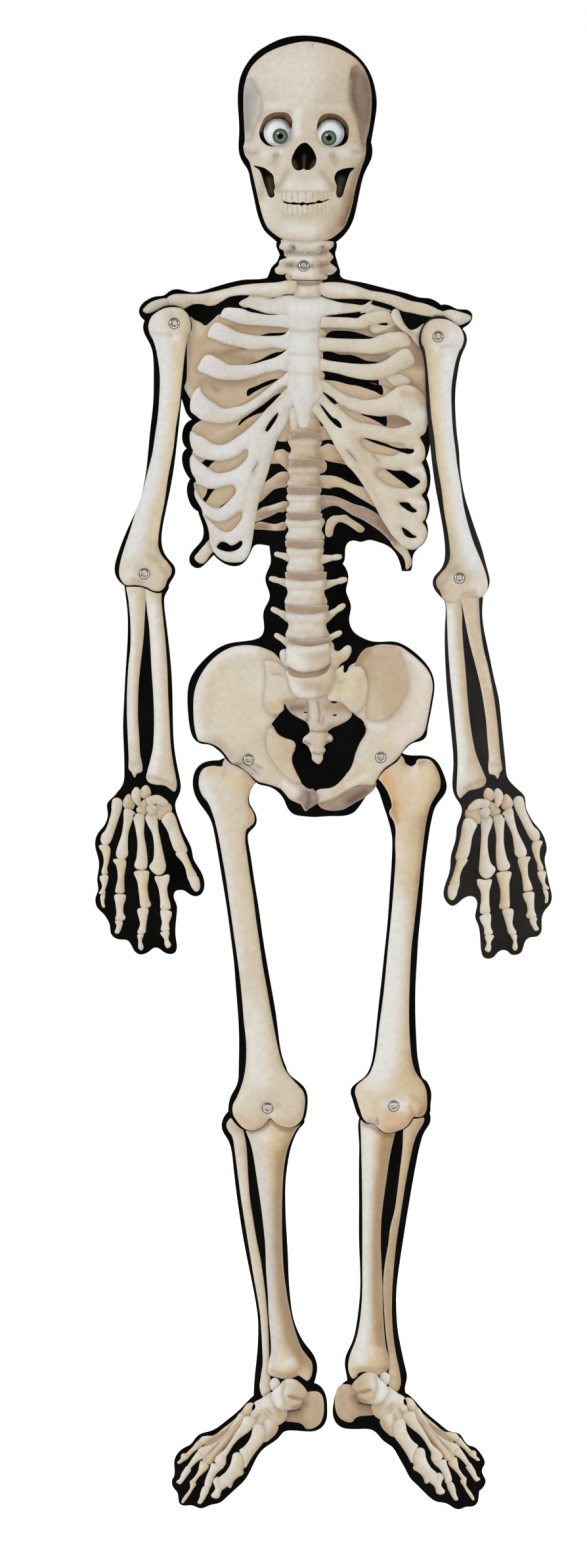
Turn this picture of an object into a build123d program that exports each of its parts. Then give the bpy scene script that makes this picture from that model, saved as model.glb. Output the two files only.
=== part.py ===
"""Jointed skeleton figure: ten die-cut printed cards, hinged to each other by nine tubular eyelets.

Units are millimetres. The figure faces -Y, +X is to the viewer's right and +Z is up.
Outlines are written as (x, z) on the figure laid out flat: x from the line through the
neck eyelet, z from the sole of the feet. The frame's origin is the centre of the hanging
hole, at the back face of the head card, so every outline is shifted by the hole's place.
"""

from build123d import *
import os

# ---------------------------------------------------------------- driving dimensions
CARD = 0.6                 # thickness of the printed board
SLIP = 0.15                # gap between two cards that lie directly on each other
HANG_X, HANG_Z = 11.5, 1671.0
HANG_R = 1.0               # pin hole in the top of the head

BARREL_R = 2.90            # outside of an eyelet's barrel, tight in the front card
RUNNING = 0.05             # radial clearance of the barrel in the rear card
BORE_R = 2.45              # open bore of an eyelet
FRONT_R, FRONT_H = 5.4, 0.60   # domed flange on the printed side
FLANGE_EDGE = 0.10         # thickness of the domed flange at its outer edge
LIP = 0.35                 # height of the flange where it turns into the bore
REAR_R, REAR_H = 4.4, 0.30     # rolled rim on the back
RIM_EDGE = 0.05            # thickness of the rolled rim at its outer edge
PLAY = 0.05                # end play between the rear card and the rolled rim
FLANGE_GAP = FRONT_H + REAR_H + 0.10   # room where limbs sweep past each other's eyelets

# ---------------------------------------------------------------- depth of each card
# Back face of every card along Y. Each card has a layer of its own, so any limb can
# sweep over any other one.
STEP = CARD + SLIP
BACK = {"head": 0.0, "torso": STEP}
BACK["right_forearm"] = -(CARD + FRONT_H + 0.10)
BACK["right_upper_arm"] = BACK["right_forearm"] - STEP
BACK["left_forearm"] = BACK["right_upper_arm"] - CARD - FLANGE_GAP
BACK["left_upper_arm"] = BACK["left_forearm"] - STEP
BACK["right_thigh"] = BACK["torso"] + STEP
BACK["right_shin"] = BACK["right_thigh"] + STEP
BACK["left_thigh"] = BACK["right_shin"] + CARD + FLANGE_GAP
BACK["left_shin"] = BACK["left_thigh"] + STEP

# ---------------------------------------------------------------- eyelets
# name: (x, z, card in front, card behind). "left" is the left of the picture.
EYELETS = {
    "neck": (-1.0, 1419.5, "head", "torso"),
    "left_shoulder": (-149.0, 1353.5, "left_upper_arm", "torso"),
    "right_shoulder": (152.5, 1338.5, "right_upper_arm", "torso"),
    "left_elbow": (-183.0, 1067.5, "left_upper_arm", "left_forearm"),
    "right_elbow": (177.0, 1062.5, "right_upper_arm", "right_forearm"),
    "left_hip": (-64.0, 855.0, "torso", "left_thigh"),
    "right_hip": (87.0, 857.5, "torso", "right_thigh"),
    "left_knee": (-42.5, 456.5, "left_thigh", "left_shin"),
    "right_knee": (102.0, 459.0, "right_thigh", "right_shin"),
}

# ---------------------------------------------------------------- card outlines
# Each outline is a list of smooth runs, clockwise. A run starts where the last one
# ended, and the last run closes on the first point, so corners lie between runs.
HEAD = [
    [(36, 1447), (43, 1452.5), (50, 1461), (55.5, 1472), (59, 1485), (62, 1500), (65, 1514),
     (69, 1527), (73, 1535), (76.5, 1543), (77.5, 1552), (76, 1561)],
    [(78.5, 1575), (81, 1590), (82.5, 1606), (81, 1620), (77, 1635), (70, 1648.5), (61, 1659),
     (50, 1668), (36, 1676), (20, 1681), (0, 1683), (-15, 1682), (-30, 1678), (-45, 1670.5),
     (-58, 1661), (-66, 1651), (-73, 1637), (-76, 1622), (-76.5, 1605), (-75.5, 1590),
     (-75, 1570), (-75.5, 1553), (-74, 1545)],
    [(-70, 1537), (-65, 1529), (-62, 1516), (-58.5, 1500), (-55, 1483), (-51, 1470), (-46, 1460),
     (-39, 1453), (-32, 1447)],
    [(-31, 1438), (-28.5, 1431), (-30, 1425.5), (-34.5, 1421), (-37.5, 1415.5), (-36.5, 1409.5),
     (-32, 1405), (-25, 1403.5), (-10, 1403), (10, 1402.5), (25, 1403), (33, 1404), (39, 1408),
     (40.5, 1413.5), (38.5, 1420), (36.5, 1427), (35, 1434), (36.5, 1440), (36, 1447)],
]

TORSO = [
    # neck tab, left clavicle and acromion
    [(0, 1437), (-20, 1436), (-28.5, 1432), (-31, 1425.5), (-37.5, 1418.5), (-40.5, 1411.5),
     (-43, 1406)],
    [(-52, 1404.5), (-68, 1404), (-84, 1401), (-100, 1396.5), (-114, 1392), (-128, 1389.5),
     (-136, 1391), (-145, 1393), (-154, 1391), (-161, 1386), (-169, 1385), (-178, 1382),
     (-186, 1376), (-189.5, 1367.5), (-187, 1361), (-182, 1356), (-173, 1342), (-160, 1330),
     (-150, 1315), (-146, 1296), (-144, 1278), (-139.5, 1264), (-135.5, 1252), (-129, 1244)],
    # left rib tips
    [(-136, 1239), (-140, 1228), (-139, 1217), (-135, 1211)],
    [(-139.5, 1205), (-140, 1195), (-137, 1185), (-131, 1176)],
    [(-134.5, 1167), (-133.5, 1155), (-129.5, 1145.5), (-122, 1139)],
    [(-119, 1130), (-116, 1120), (-116.5, 1109), (-119, 1104)],
    [(-127, 1095), (-132, 1085), (-130, 1078), (-122, 1074), (-114.5, 1078), (-104, 1089)],
    # bottom of the left ribs, left of the spine
    [(-97, 1082.5), (-86, 1077), (-75, 1077), (-66.5, 1083.5), (-61, 1094), (-57, 1100),
     (-49, 1101), (-40.5, 1099.5)],
    [(-39.5, 1092), (-39, 1080), (-42.5, 1071), (-45, 1062), (-42.5, 1052), (-40, 1042),
     (-42.5, 1034), (-46.5, 1026), (-47.5, 1019), (-46.5, 1009), (-47.5, 1000), (-53, 994)],
    # left ilium, down to the hip joint
    [(-62, 991.5), (-75, 990), (-90, 987), (-103, 980), (-114.5, 970), (-124.5, 958.5),
     (-131.5, 945), (-134, 930), (-133.5, 910), (-131, 890), (-127, 879.5), (-119, 873.5),
     (-109, 872), (-101, 867.5), (-94, 861), (-88, 853.5), (-81, 849)],
    [(-73, 845), (-66, 840), (-59, 832.5), (-53.5, 827.5), (-42, 824.5), (-31, 818.5), (-24, 810),
     (-19, 799), (-12, 792.5), (-3, 790.5), (12, 789.5), (30, 790.5), (46, 791), (55, 794),
     (62, 801), (70, 813), (78.5, 826)],
    # right hip joint and right ilium
    [(83.5, 833), (90, 841.5), (98, 847.5), (106, 853.5), (110.5, 861)],
    [(116, 868), (124, 874), (133, 876.5), (138.5, 881), (140.5, 890), (143, 903), (146.5, 922),
     (148.5, 940), (145.5, 954), (138, 966), (127, 977), (115, 985.5), (103, 990), (90, 990),
     (77, 990.5), (65, 995), (56, 1001.5), (52, 1009), (51, 1017), (53, 1029), (50.5, 1039),
     (47.5, 1048), (50, 1062), (48.5, 1071), (43.5, 1079)],
    # right of the spine, floating rib
    [(46, 1085.5), (46.5, 1096), (50, 1103.5), (57, 1105.5), (64, 1104), (72, 1106),
     (84, 1104), (95, 1099.5), (102, 1093.5), (107.5, 1084), (111, 1071)],
    [(116, 1070.5), (121, 1071)],
    [(123, 1076), (123.5, 1086), (128, 1095), (135, 1101), (140, 1110), (141, 1119), (138.5, 1128)],
    [(142, 1137), (143, 1147), (140, 1157)],
    [(142.5, 1165), (144, 1175), (143, 1186), (139, 1199)],
    # right edge, hidden behind the arm, then the right acromion and clavicle
    [(142, 1208), (144, 1225), (146, 1250), (149, 1280), (152, 1300), (160, 1316), (172, 1330),
     (179, 1343), (181.5, 1349)],
    [(187, 1352.5), (191, 1358), (191.5, 1364), (188, 1368.5), (182, 1370), (174, 1370.5),
     (168, 1373.5), (161, 1375.5), (156, 1375)],
    [(150, 1379.5), (143, 1382.5), (132, 1383.5), (119, 1387.5), (103, 1391.5), (83, 1396.5),
     (62, 1401.5), (48, 1404), (42.5, 1406.5), (40, 1411), (38, 1421), (33, 1431), (20, 1436),
     (0, 1437)],
]

LEFT_UPPER_ARM = [
    [(-162, 1372.5), (-155, 1374), (-148, 1374), (-141, 1371.5), (-134, 1365.5), (-129.5, 1356),
     (-129, 1347), (-132, 1340), (-134.5, 1334)],
    [(-134.5, 1326), (-136.5, 1305), (-138, 1288), (-140.5, 1268), (-142.5, 1248), (-145, 1225),
     (-147.5, 1203), (-151, 1178), (-156, 1152), (-161, 1128), (-163.5, 1108), (-161.5, 1094),
     (-155, 1083.5), (-148.5, 1075), (-148, 1068), (-152, 1060), (-155.5, 1053)],
    [(-159, 1049), (-163, 1046), (-170, 1045.5), (-176, 1047.5), (-183, 1051), (-192, 1052.5),
     (-204, 1052.5)],
    [(-209, 1056), (-214.5, 1062.5), (-217, 1070), (-216, 1081), (-212, 1094), (-206, 1110),
     (-198, 1128), (-190.5, 1145), (-185, 1163), (-181, 1186), (-178.5, 1210), (-176, 1236),
     (-173, 1264), (-172.5, 1290), (-173, 1314), (-176, 1328), (-181, 1337.5), (-184.5, 1347),
     (-183, 1356.5), (-178.5, 1362.5), (-171, 1367.5), (-162, 1372.5)],
]

LEFT_FOREARM = [
    [(-183, 1086), (-172, 1083), (-163.5, 1073), (-159, 1060), (-155, 1052.5), (-159, 1044),
     (-160.5, 1034), (-158.5, 1015), (-155.5, 990), (-152.5, 960), (-151, 930), (-150.5, 900),
     (-149, 870), (-146, 850), (-142.5, 833), (-141.5, 823), (-144, 814), (-147.5, 806),
     (-146.5, 795), (-143, 785), (-139, 774), (-133, 762), (-129, 752), (-127, 742),
     (-122, 733), (-117, 724), (-114.5, 714), (-115.5, 706), (-119.5, 700.5), (-125, 699),
     (-131, 701), (-136, 704.5), (-143, 706)],
    [(-148.5, 703.5), (-149.5, 698), (-146.5, 690), (-146, 680), (-147.5, 665), (-147, 650),
     (-146, 640), (-148.5, 634.5), (-155, 633), (-162, 636), (-168, 640), (-172, 640),
     (-177, 636.5), (-182, 633.5), (-188, 632.5), (-194, 636), (-198, 643), (-202.5, 648.5),
     (-210, 649.5), (-217, 651.5), (-221.5, 657), (-222.5, 665), (-226, 673.5), (-231, 680),
     (-236.5, 685.5), (-239, 692), (-238.5, 699), (-236, 706), (-237, 716), (-236, 726),
     (-235, 736), (-236.5, 745), (-239, 754), (-239, 764), (-235.5, 772), (-230, 778.5),
     (-226.5, 785), (-225, 794), (-225.5, 805), (-220.5, 811), (-213.5, 819)],
    [(-207, 829.5), (-206, 842), (-206.5, 865), (-207.5, 892), (-206.5, 920), (-205, 950),
     (-203, 980), (-202, 1005), (-203, 1030), (-205, 1045), (-206, 1058), (-203, 1071),
     (-195, 1082), (-183, 1086)],
]

RIGHT_UPPER_ARM = [
    [(146, 1361), (153, 1362.5), (160, 1361), (167, 1357), (173, 1352), (178, 1349.5)],
    [(183, 1344), (185.5, 1336), (184, 1328), (180, 1319), (177, 1309), (175, 1298),
     (173, 1284), (172, 1266), (172.5, 1248), (174, 1228), (176.5, 1207), (177.5, 1188),
     (180, 1170), (184, 1152), (190, 1133), (196, 1115), (202, 1098), (206, 1083),
     (210, 1068), (211.5, 1059), (209.5, 1050.5), (205, 1044), (200, 1041)],
    [(193, 1041), (187, 1041.5), (180, 1040), (174.5, 1037), (168.5, 1034.5), (163, 1034.5),
     (158.5, 1038)],
    [(151, 1046), (146.5, 1055), (148, 1064), (154.5, 1071.5), (159, 1080), (160.5, 1092),
     (159.5, 1108), (156.5, 1128), (152.5, 1150), (148.5, 1172), (145.5, 1195), (143, 1218),
     (141, 1240), (139, 1264), (138, 1285), (137.5, 1300), (135.5, 1315), (132.5, 1325)],
    [(130.5, 1331), (130.5, 1338), (133, 1347), (138.5, 1355.5), (146, 1361)],
]

RIGHT_FOREARM = [
    [(177, 1080), (166, 1076.5), (159, 1067), (156.5, 1055), (158, 1044), (160.5, 1034),
     (160.5, 1012), (160, 988), (161, 960), (163, 930), (166, 900), (169, 870), (170, 850),
     (169, 834), (169.5, 820), (172.5, 812), (176.5, 806), (179.5, 799.5)],
    [(178, 789), (174, 778), (173, 767), (170, 755), (167, 744), (166.5, 734), (165, 725),
     (161.5, 715), (159, 706), (159, 699), (162.5, 692), (168.5, 688), (174.5, 690.5),
     (181, 696), (188, 699), (193.5, 698)],
    [(197, 692.5), (196, 683), (195, 675), (198, 667), (200, 658), (201, 645), (202, 635),
     (205, 629), (210.5, 627.5), (216.5, 630), (221, 635), (227, 637.5), (232, 636),
     (236, 632.5), (241.5, 632), (247, 634.5), (250, 641), (252.5, 648), (258, 652),
     (265.5, 653), (270, 657.5), (271, 666), (271.5, 676), (275.5, 684), (280.5, 690),
     (282.5, 699), (280, 711), (277.5, 723), (275, 735), (274.5, 743), (276.5, 751),
     (276, 759), (273, 768), (268, 776), (262, 783), (256.5, 792), (252.5, 803),
     (251.5, 812.5), (245, 820), (237.5, 827), (232, 834.5), (230, 846), (228.5, 862),
     (226, 886), (224, 907), (221.5, 927), (217, 946), (212, 970), (207.5, 991),
     (204, 1010), (203, 1026), (204, 1042), (203, 1058), (197.5, 1071), (188, 1078),
     (177, 1080)],
]

LEFT_THIGH = [
    [(-91, 857.5), (-84, 868), (-72, 876), (-58, 876), (-47, 868), (-43, 855), (-46, 842),
     (-53, 832), (-60, 823.5), (-63.5, 813), (-62.5, 804)],
    [(-58, 796.5), (-55, 789), (-56, 780.5), (-60, 775.5), (-64, 771), (-64.5, 761),
     (-62, 747), (-59.5, 730), (-56.5, 710), (-52.5, 686), (-49, 660), (-45.5, 637),
     (-41, 611), (-36.5, 586), (-32.5, 562), (-29.5, 537), (-26, 517), (-21, 503.5)],
    [(-14, 492), (-6, 486), (0, 479.5), (3, 472), (3.5, 463), (2, 450), (-1, 442),
     (-6, 437), (-12, 434.5), (-19, 433.5), (-27, 435.5), (-34, 439.5), (-39.5, 444)],
    [(-44, 439), (-50, 434), (-58, 430.5), (-66, 430.5), (-72, 432.5), (-78, 437.5),
     (-83, 443.5), (-87, 451), (-87, 460), (-84.5, 470), (-79.5, 479), (-76.5, 487),
     (-75.5, 500), (-75, 530), (-76, 560), (-78.5, 592), (-81, 624), (-84.5, 652),
     (-88.5, 682), (-93, 710), (-98, 740), (-103, 769), (-108, 787), (-115, 798),
     (-123, 809.5), (-127.5, 822), (-127.5, 835), (-124, 844.5), (-117, 851), (-107, 854),
     (-98, 854.5)],
    [(-94.5, 856), (-91, 857.5)],
]

RIGHT_THIGH = [
    [(111, 863), (103, 873), (90, 878.5), (77, 874), (69, 863), (68.5, 850), (73, 838),
     (79.5, 827.5), (84.5, 819), (89, 806), (93, 794), (97.5, 779), (100, 765), (100, 750),
     (99, 730), (97, 701), (95, 672), (92.5, 647), (90, 624), (87.5, 600), (84.5, 574),
     (82, 550), (79.5, 527), (77, 511), (73.5, 500), (68.5, 492.5), (60, 486), (54.5, 481)],
    [(52.5, 475.5), (54.5, 467), (57.5, 457), (60.5, 449), (65, 442.5), (72, 438.5),
     (79, 437.5), (84, 433), (90, 428.5), (98, 427.5), (106, 429.5), (114, 432.5),
     (119.5, 437), (124, 444.5)],
    [(131, 445), (138, 447), (143, 451), (144, 460), (145, 471), (143, 481), (139, 488)],
    [(134.5, 492), (132, 500), (129.5, 513), (128, 530), (127, 551), (126.5, 576),
     (127, 601), (128.5, 626), (130, 651), (132.5, 676), (135, 704), (137, 729),
     (140, 754), (143, 775), (146, 790), (149.5, 801), (155, 809), (160.5, 816.5),
     (162.5, 825), (161, 833), (158, 841), (153.5, 850), (147, 856.5), (139, 859.5),
     (128, 860), (118, 860.5), (111, 863)],
]

LEFT_SHIN = [
    [(-42, 478), (-30, 474), (-22, 464), (-16, 453), (-6, 448), (0, 441.5), (-5, 434),
     (-11.5, 423), (-16, 410), (-19, 395), (-21.5, 375), (-22, 350), (-21, 322), (-19, 288),
     (-18, 260), (-16, 236), (-12.5, 215), (-7, 200), (0.5, 187), (8.5, 177), (13, 168),
     (14.5, 159), (13, 149), (11, 142)],
    [(16, 140), (21, 135), (25, 125), (26, 112), (25, 100), (20, 91.5), (12, 87), (0, 86.5),
     (-14, 87.5), (-23.5, 86), (-30, 79), (-37, 73.5), (-44, 69), (-50, 63.5), (-55, 56),
     (-60, 46), (-65, 36), (-70, 29), (-77, 22.5), (-84, 16), (-91, 9.5), (-98, 4.5),
     (-107, 2.5), (-113, 0), (-119, -1.5), (-125, 0.5), (-131, 2), (-138, 1.5),
     (-143, 4), (-144.5, 10), (-146, 17), (-150, 22), (-152, 28), (-149.5, 35)],
    [(-149, 44), (-149, 54), (-145, 62), (-138, 68), (-130.5, 72), (-125, 79), (-119, 84),
     (-110, 86.5), (-100, 91), (-91.5, 97.5), (-82, 105), (-73, 113), (-65.5, 121),
     (-58.5, 127.5)],
    [(-58, 138), (-57, 152), (-55, 170), (-53.5, 190), (-53.5, 214), (-57, 240), (-63, 270),
     (-69, 300), (-74, 330), (-78.5, 362), (-82, 393), (-84.5, 411), (-88, 420.5),
     (-93, 428.5), (-95, 436), (-93, 445), (-87, 453), (-76, 460), (-66, 468), (-56, 476),
     (-42, 478)],
]

RIGHT_SHIN = [
    [(100, 482), (86, 478), (76, 468), (67, 456), (62, 444), (62, 420), (62, 395), (62, 365),
     (62, 335), (62, 305), (63, 280), (63.5, 257), (62.5, 236), (60, 215), (57, 198),
     (52, 184), (47, 173), (46, 161), (48, 150), (48.5, 145.5)],
    [(41.5, 140), (36, 132), (33, 120), (32, 108), (35, 98), (42, 91.5), (52, 89.5),
     (65, 89.5), (75, 89), (82, 85), (88, 78), (95, 72.5), (101, 68), (105.5, 61),
     (110.5, 52), (116, 42), (121, 33), (127, 27), (135, 19), (144, 10.5), (151, 6.5),
     (160, 5), (166.5, 2), (172, -1.5), (178, -2), (184.5, 0.5), (192, 1), (197, 4.5),
     (199, 11), (200, 19)],
    [(205, 24), (207, 30.5), (204, 37.5), (203, 43), (206, 50), (204, 57.5), (200, 63.5),
     (194, 69), (187, 71.5), (182, 77.5), (177, 84), (171, 86), (165, 87.5), (158, 92.5),
     (149.5, 99.5), (140.5, 107), (132, 115.5), (124.5, 124), (115.5, 131)],
    [(115, 138), (117, 147), (115, 161), (111, 179), (107, 200), (105, 224), (105, 246),
     (107, 267), (110.5, 291), (114.5, 317), (119, 345), (124, 374), (129, 401),
     (133.5, 420), (138, 431), (143, 439), (144, 447), (140, 457), (130, 468), (117, 478),
     (100, 482)],
]

OUTLINES = {
    "head": HEAD,
    "torso": TORSO,
    "left_upper_arm": LEFT_UPPER_ARM,
    "left_forearm": LEFT_FOREARM,
    "right_upper_arm": RIGHT_UPPER_ARM,
    "right_forearm": RIGHT_FOREARM,
    "left_thigh": LEFT_THIGH,
    "right_thigh": RIGHT_THIGH,
    "left_shin": LEFT_SHIN,
    "right_shin": RIGHT_SHIN,
}


def layout_plane(y):
    """The flat layout's plane at depth y, seen from the front. Its normal points to -Y."""
    return Plane(origin=(-HANG_X, y, -HANG_Z), x_dir=(1, 0, 0), z_dir=(0, -1, 0))


def card(name):
    """One die-cut card with the holes of its eyelets punched through it."""
    with BuildPart() as made:
        with BuildSketch(layout_plane(BACK[name])):
            with BuildLine():
                start = OUTLINES[name][0][0]
                for run in OUTLINES[name]:
                    points = run if run[0] == start else [start, *run]
                    Spline(*points)
                    start = points[-1]
                if start != OUTLINES[name][0][0]:
                    Line(start, OUTLINES[name][0][0])
            make_face()
            for x, z, front, behind in EYELETS.values():
                if name in (front, behind):
                    hole = BARREL_R if name == front else BARREL_R + RUNNING
                    with Locations((x, z)):
                        Circle(hole, mode=Mode.SUBTRACT)
            if name == "head":
                with Locations((HANG_X, HANG_Z)):
                    Circle(HANG_R, mode=Mode.SUBTRACT)
        extrude(amount=CARD)
    made.part.label = f"{name}_card"
    return made


def eyelet(name):
    """One tubular eyelet: domed front flange, barrel, and a rim rolled over behind."""
    x, z, front, behind = EYELETS[name]
    front_face = BACK[front] - CARD
    rim_face = BACK[behind] + PLAY
    length = rim_face - front_face
    crest = BORE_R + (FRONT_R - BORE_R) * 0.55
    roll = (BORE_R + REAR_R) / 2
    # Section in the half plane of radius and depth. Depth 0 is the printed face.
    section_plane = Plane(
        origin=(x - HANG_X, front_face, z - HANG_Z), x_dir=(1, 0, 0), z_dir=(0, 0, 1)
    )
    with BuildPart() as made:
        with BuildSketch(section_plane):
            with BuildLine():
                Line((BORE_R, -LIP), (BORE_R, length + REAR_H / 2))
                ThreePointArc(
                    (BORE_R, length + REAR_H / 2), (roll, length + REAR_H), (REAR_R, length + RIM_EDGE)
                )
                Polyline(
                    (REAR_R, length + RIM_EDGE), (REAR_R, length), (BARREL_R, length),
                    (BARREL_R, 0), (FRONT_R, 0), (FRONT_R, -FLANGE_EDGE),
                )
                ThreePointArc((FRONT_R, -FLANGE_EDGE), (crest, -FRONT_H), (BORE_R, -LIP))
            make_face()
        revolve(axis=Axis((x - HANG_X, 0, z - HANG_Z), (0, 1, 0)))
    made.part.label = f"{name}_eyelet"
    return made


os.makedirs("parts", exist_ok=True)
for card_name in OUTLINES:
    export_step(card(card_name).part, f"parts/{card_name}_card.step")
for eyelet_name in EYELETS:
    export_step(eyelet(eyelet_name).part, f"parts/{eyelet_name}_eyelet.step")
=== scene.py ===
import bpy
import math
import numpy as np
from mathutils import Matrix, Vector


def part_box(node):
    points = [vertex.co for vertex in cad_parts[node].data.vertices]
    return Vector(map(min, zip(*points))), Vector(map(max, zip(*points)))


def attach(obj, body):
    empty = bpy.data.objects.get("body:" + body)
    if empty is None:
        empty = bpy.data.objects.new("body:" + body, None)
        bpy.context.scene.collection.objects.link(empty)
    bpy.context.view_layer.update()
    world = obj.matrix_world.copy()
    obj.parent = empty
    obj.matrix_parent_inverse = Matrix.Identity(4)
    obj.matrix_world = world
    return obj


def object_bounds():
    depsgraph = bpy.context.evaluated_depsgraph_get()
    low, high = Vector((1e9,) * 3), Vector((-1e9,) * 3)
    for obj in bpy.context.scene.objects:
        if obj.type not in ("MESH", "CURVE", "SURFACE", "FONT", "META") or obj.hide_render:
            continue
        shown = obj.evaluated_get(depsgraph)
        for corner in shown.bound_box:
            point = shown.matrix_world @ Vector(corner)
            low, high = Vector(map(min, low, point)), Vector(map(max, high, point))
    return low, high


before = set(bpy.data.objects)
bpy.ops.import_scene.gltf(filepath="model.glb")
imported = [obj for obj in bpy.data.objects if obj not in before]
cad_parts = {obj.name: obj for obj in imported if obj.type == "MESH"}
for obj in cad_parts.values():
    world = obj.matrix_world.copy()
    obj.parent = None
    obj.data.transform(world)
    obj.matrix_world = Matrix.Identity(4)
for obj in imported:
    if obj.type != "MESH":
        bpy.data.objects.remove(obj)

from types import SimpleNamespace
from mathutils import Vector
from mathutils.geometry import delaunay_2d_cdt
from mathutils.kdtree import KDTree

CAD_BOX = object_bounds()

# The print is written on the figure laid out flat, in millimetres: x from the line
# through the neck eyelet, z up from the soles. The frame's origin is the pin hole.
MM = 0.001
HOLE_X, HOLE_Z = 11.5, 1671.0
PIN_R = 1.15               # clear hole in the print round the pin hole
BARREL_R = 3.2             # clear hole in the print round an eyelet's barrel
CENTRE_R = 2.4             # print seen inside an eyelet's ring
FLANGE_RINGS = (5.7, 6.3, 7.4)     # radii where the shade round an eyelet's flange is set
FLANGE_SHADE = 0.85        # how dark that shade is at the flange
EDGE_STEP = 1.3            # spacing of points along an outline
FILL_STEP = 2.4            # spacing of points inside it
ROW_STEP = 0.866           # distance of two rows of points inside, in fill steps
SAME_POINT = 1e-5          # points closer than this are one
NO_AREA = 1e-6             # twice the area, in square mm, of a triangle too thin to keep
FIRST_LEVEL = 0.016        # height of the lowest print over the card
LEVEL_STEP = 0.011         # height of one level of print over the next
FILM = 0.008               # thickness of the print
SHAPE_STEP = 0.0025        # keeps neighbours in one level from lying in one plane
SHAPE_CYCLE = 4            # after this many shapes the small steps start again

# The printed light on a bone: how bright it is where it faces the viewer, what its sides and
# its top add, and how much it loses where the bone curves away.
FACING, FROM_SIDE, FROM_TOP, CURVED, CURVE_POWER = 0.64, 0.42, 0.18, 0.44, 1.3
MOTTLES = ((0.09, 17, 0), (0.05, 5, 3))    # strength, size of a blotch and seed's offset
SWELL_ROUNDS, SWELL_DONE = 400, 1e-9       # when the solver of a swollen skin stops
TINY = 1e-9                                # keeps a division from being by nothing

# The shade that a bone casts on the print under it: strength, reach in mm and tint.
CAST_STRENGTH, CAST_REACH, CAST_TINT = 0.55, 2.3, (0.34, 0.27, 0.2)
HALO = (236, 232, 222)     # the pale line along a printed bone's edge

EYELETS = {  # x and z of each eyelet's middle
    "neck": (-1.0, 1419.5), "left_shoulder": (-149.0, 1353.5), "right_shoulder": (152.5, 1338.5),
    "left_elbow": (-183.0, 1067.5), "right_elbow": (177.0, 1062.5), "left_hip": (-64.0, 855.0),
    "right_hip": (87.0, 857.5), "left_knee": (-42.5, 456.5), "right_knee": (102.0, 459.0),
}

# Three colours of a printed bone, from its shaded side to its lit side, in sRGB.
TONES = {
    "white": ((178, 166, 147), (211, 207, 200), (225, 223, 220)),
    "cream": ((170, 146, 112), (205, 192, 170), (222, 216, 205)),
    "warm": ((156, 126, 88), (204, 182, 148), (224, 213, 193)),
    "tan": ((150, 124, 95), (186, 163, 134), (206, 188, 162)),
    "brown": ((112, 90, 76), (150, 128, 112), (176, 156, 140)),
    "disc": ((122, 98, 78), (157, 135, 114), (177, 157, 136)),
    "sacrum": ((150, 128, 110), (190, 174, 157), (212, 200, 184)),
    "tooth": ((196, 180, 152), (211, 202, 184), (222, 215, 202)),
    "eye": ((150, 156, 168), (214, 216, 220), (240, 240, 240)),
    "black": ((3, 3, 3), (4, 4, 4), (6, 6, 6)),
    "line": ((96, 74, 54), (120, 96, 72), (140, 116, 90)),
}
FLAT = ("black", "tooth")  # tones that lay no shade on what is under them

# Colours of the marks that several bones have.
SHADOW = (150, 122, 92)
GLOW = (230, 228, 224)
UMBER = (124, 98, 76)
SAND = (196, 176, 146)
BUFF = (206, 190, 160)


# ---------------------------------------------------------------- drawing
def srgb(rgb):
    """Linear colour of an sRGB colour given as 0 to 255."""
    c = np.asarray(rgb, float) / 255.0
    return np.where(c <= 0.04045, c / 12.92, ((c + 0.055) / 1.055) ** 2.4)


def curve(points, closed, step=EDGE_STEP):
    """Even points along the smooth curve that passes through the given ones."""
    p = np.asarray(points, float)
    count = len(p)
    spans = count if closed else count - 1
    around = (lambda i: i % count) if closed else (lambda i: min(max(i, 0), count - 1))
    out = []
    for i in range(spans):
        a, b, c, d = (p[around(i + k)] for k in (-1, 0, 1, 2))
        pieces = max(int(np.linalg.norm((c - b)[:2]) / step), 1) * 4
        t = (np.arange(pieces) / pieces)[:, None]
        turn_b, turn_c = (c - a) * 0.5, (d - b) * 0.5
        out.append(
            (2 * t**3 - 3 * t**2 + 1) * b + (t**3 - 2 * t**2 + t) * turn_b
            + (-2 * t**3 + 3 * t**2) * c + (t**3 - t**2) * turn_c
        )
    out = np.vstack(out + ([p[:1]] if closed else [p[-1:]]))
    length = np.concatenate([[0], np.cumsum(np.linalg.norm(np.diff(out[:, :2], axis=0), axis=1))])
    number = max(int(length[-1] / step), 6)
    at = np.linspace(0, length[-1], number + 1)
    even = np.column_stack([np.interp(at, length, out[:, k]) for k in range(out.shape[1])])
    return even[:-1] if closed else even


def circle(x, z, r, count=24):
    """Even points round a circle."""
    a = np.arange(count) * 2 * math.pi / count
    return np.column_stack([x + r * np.cos(a), z + r * np.sin(a)])


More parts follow.
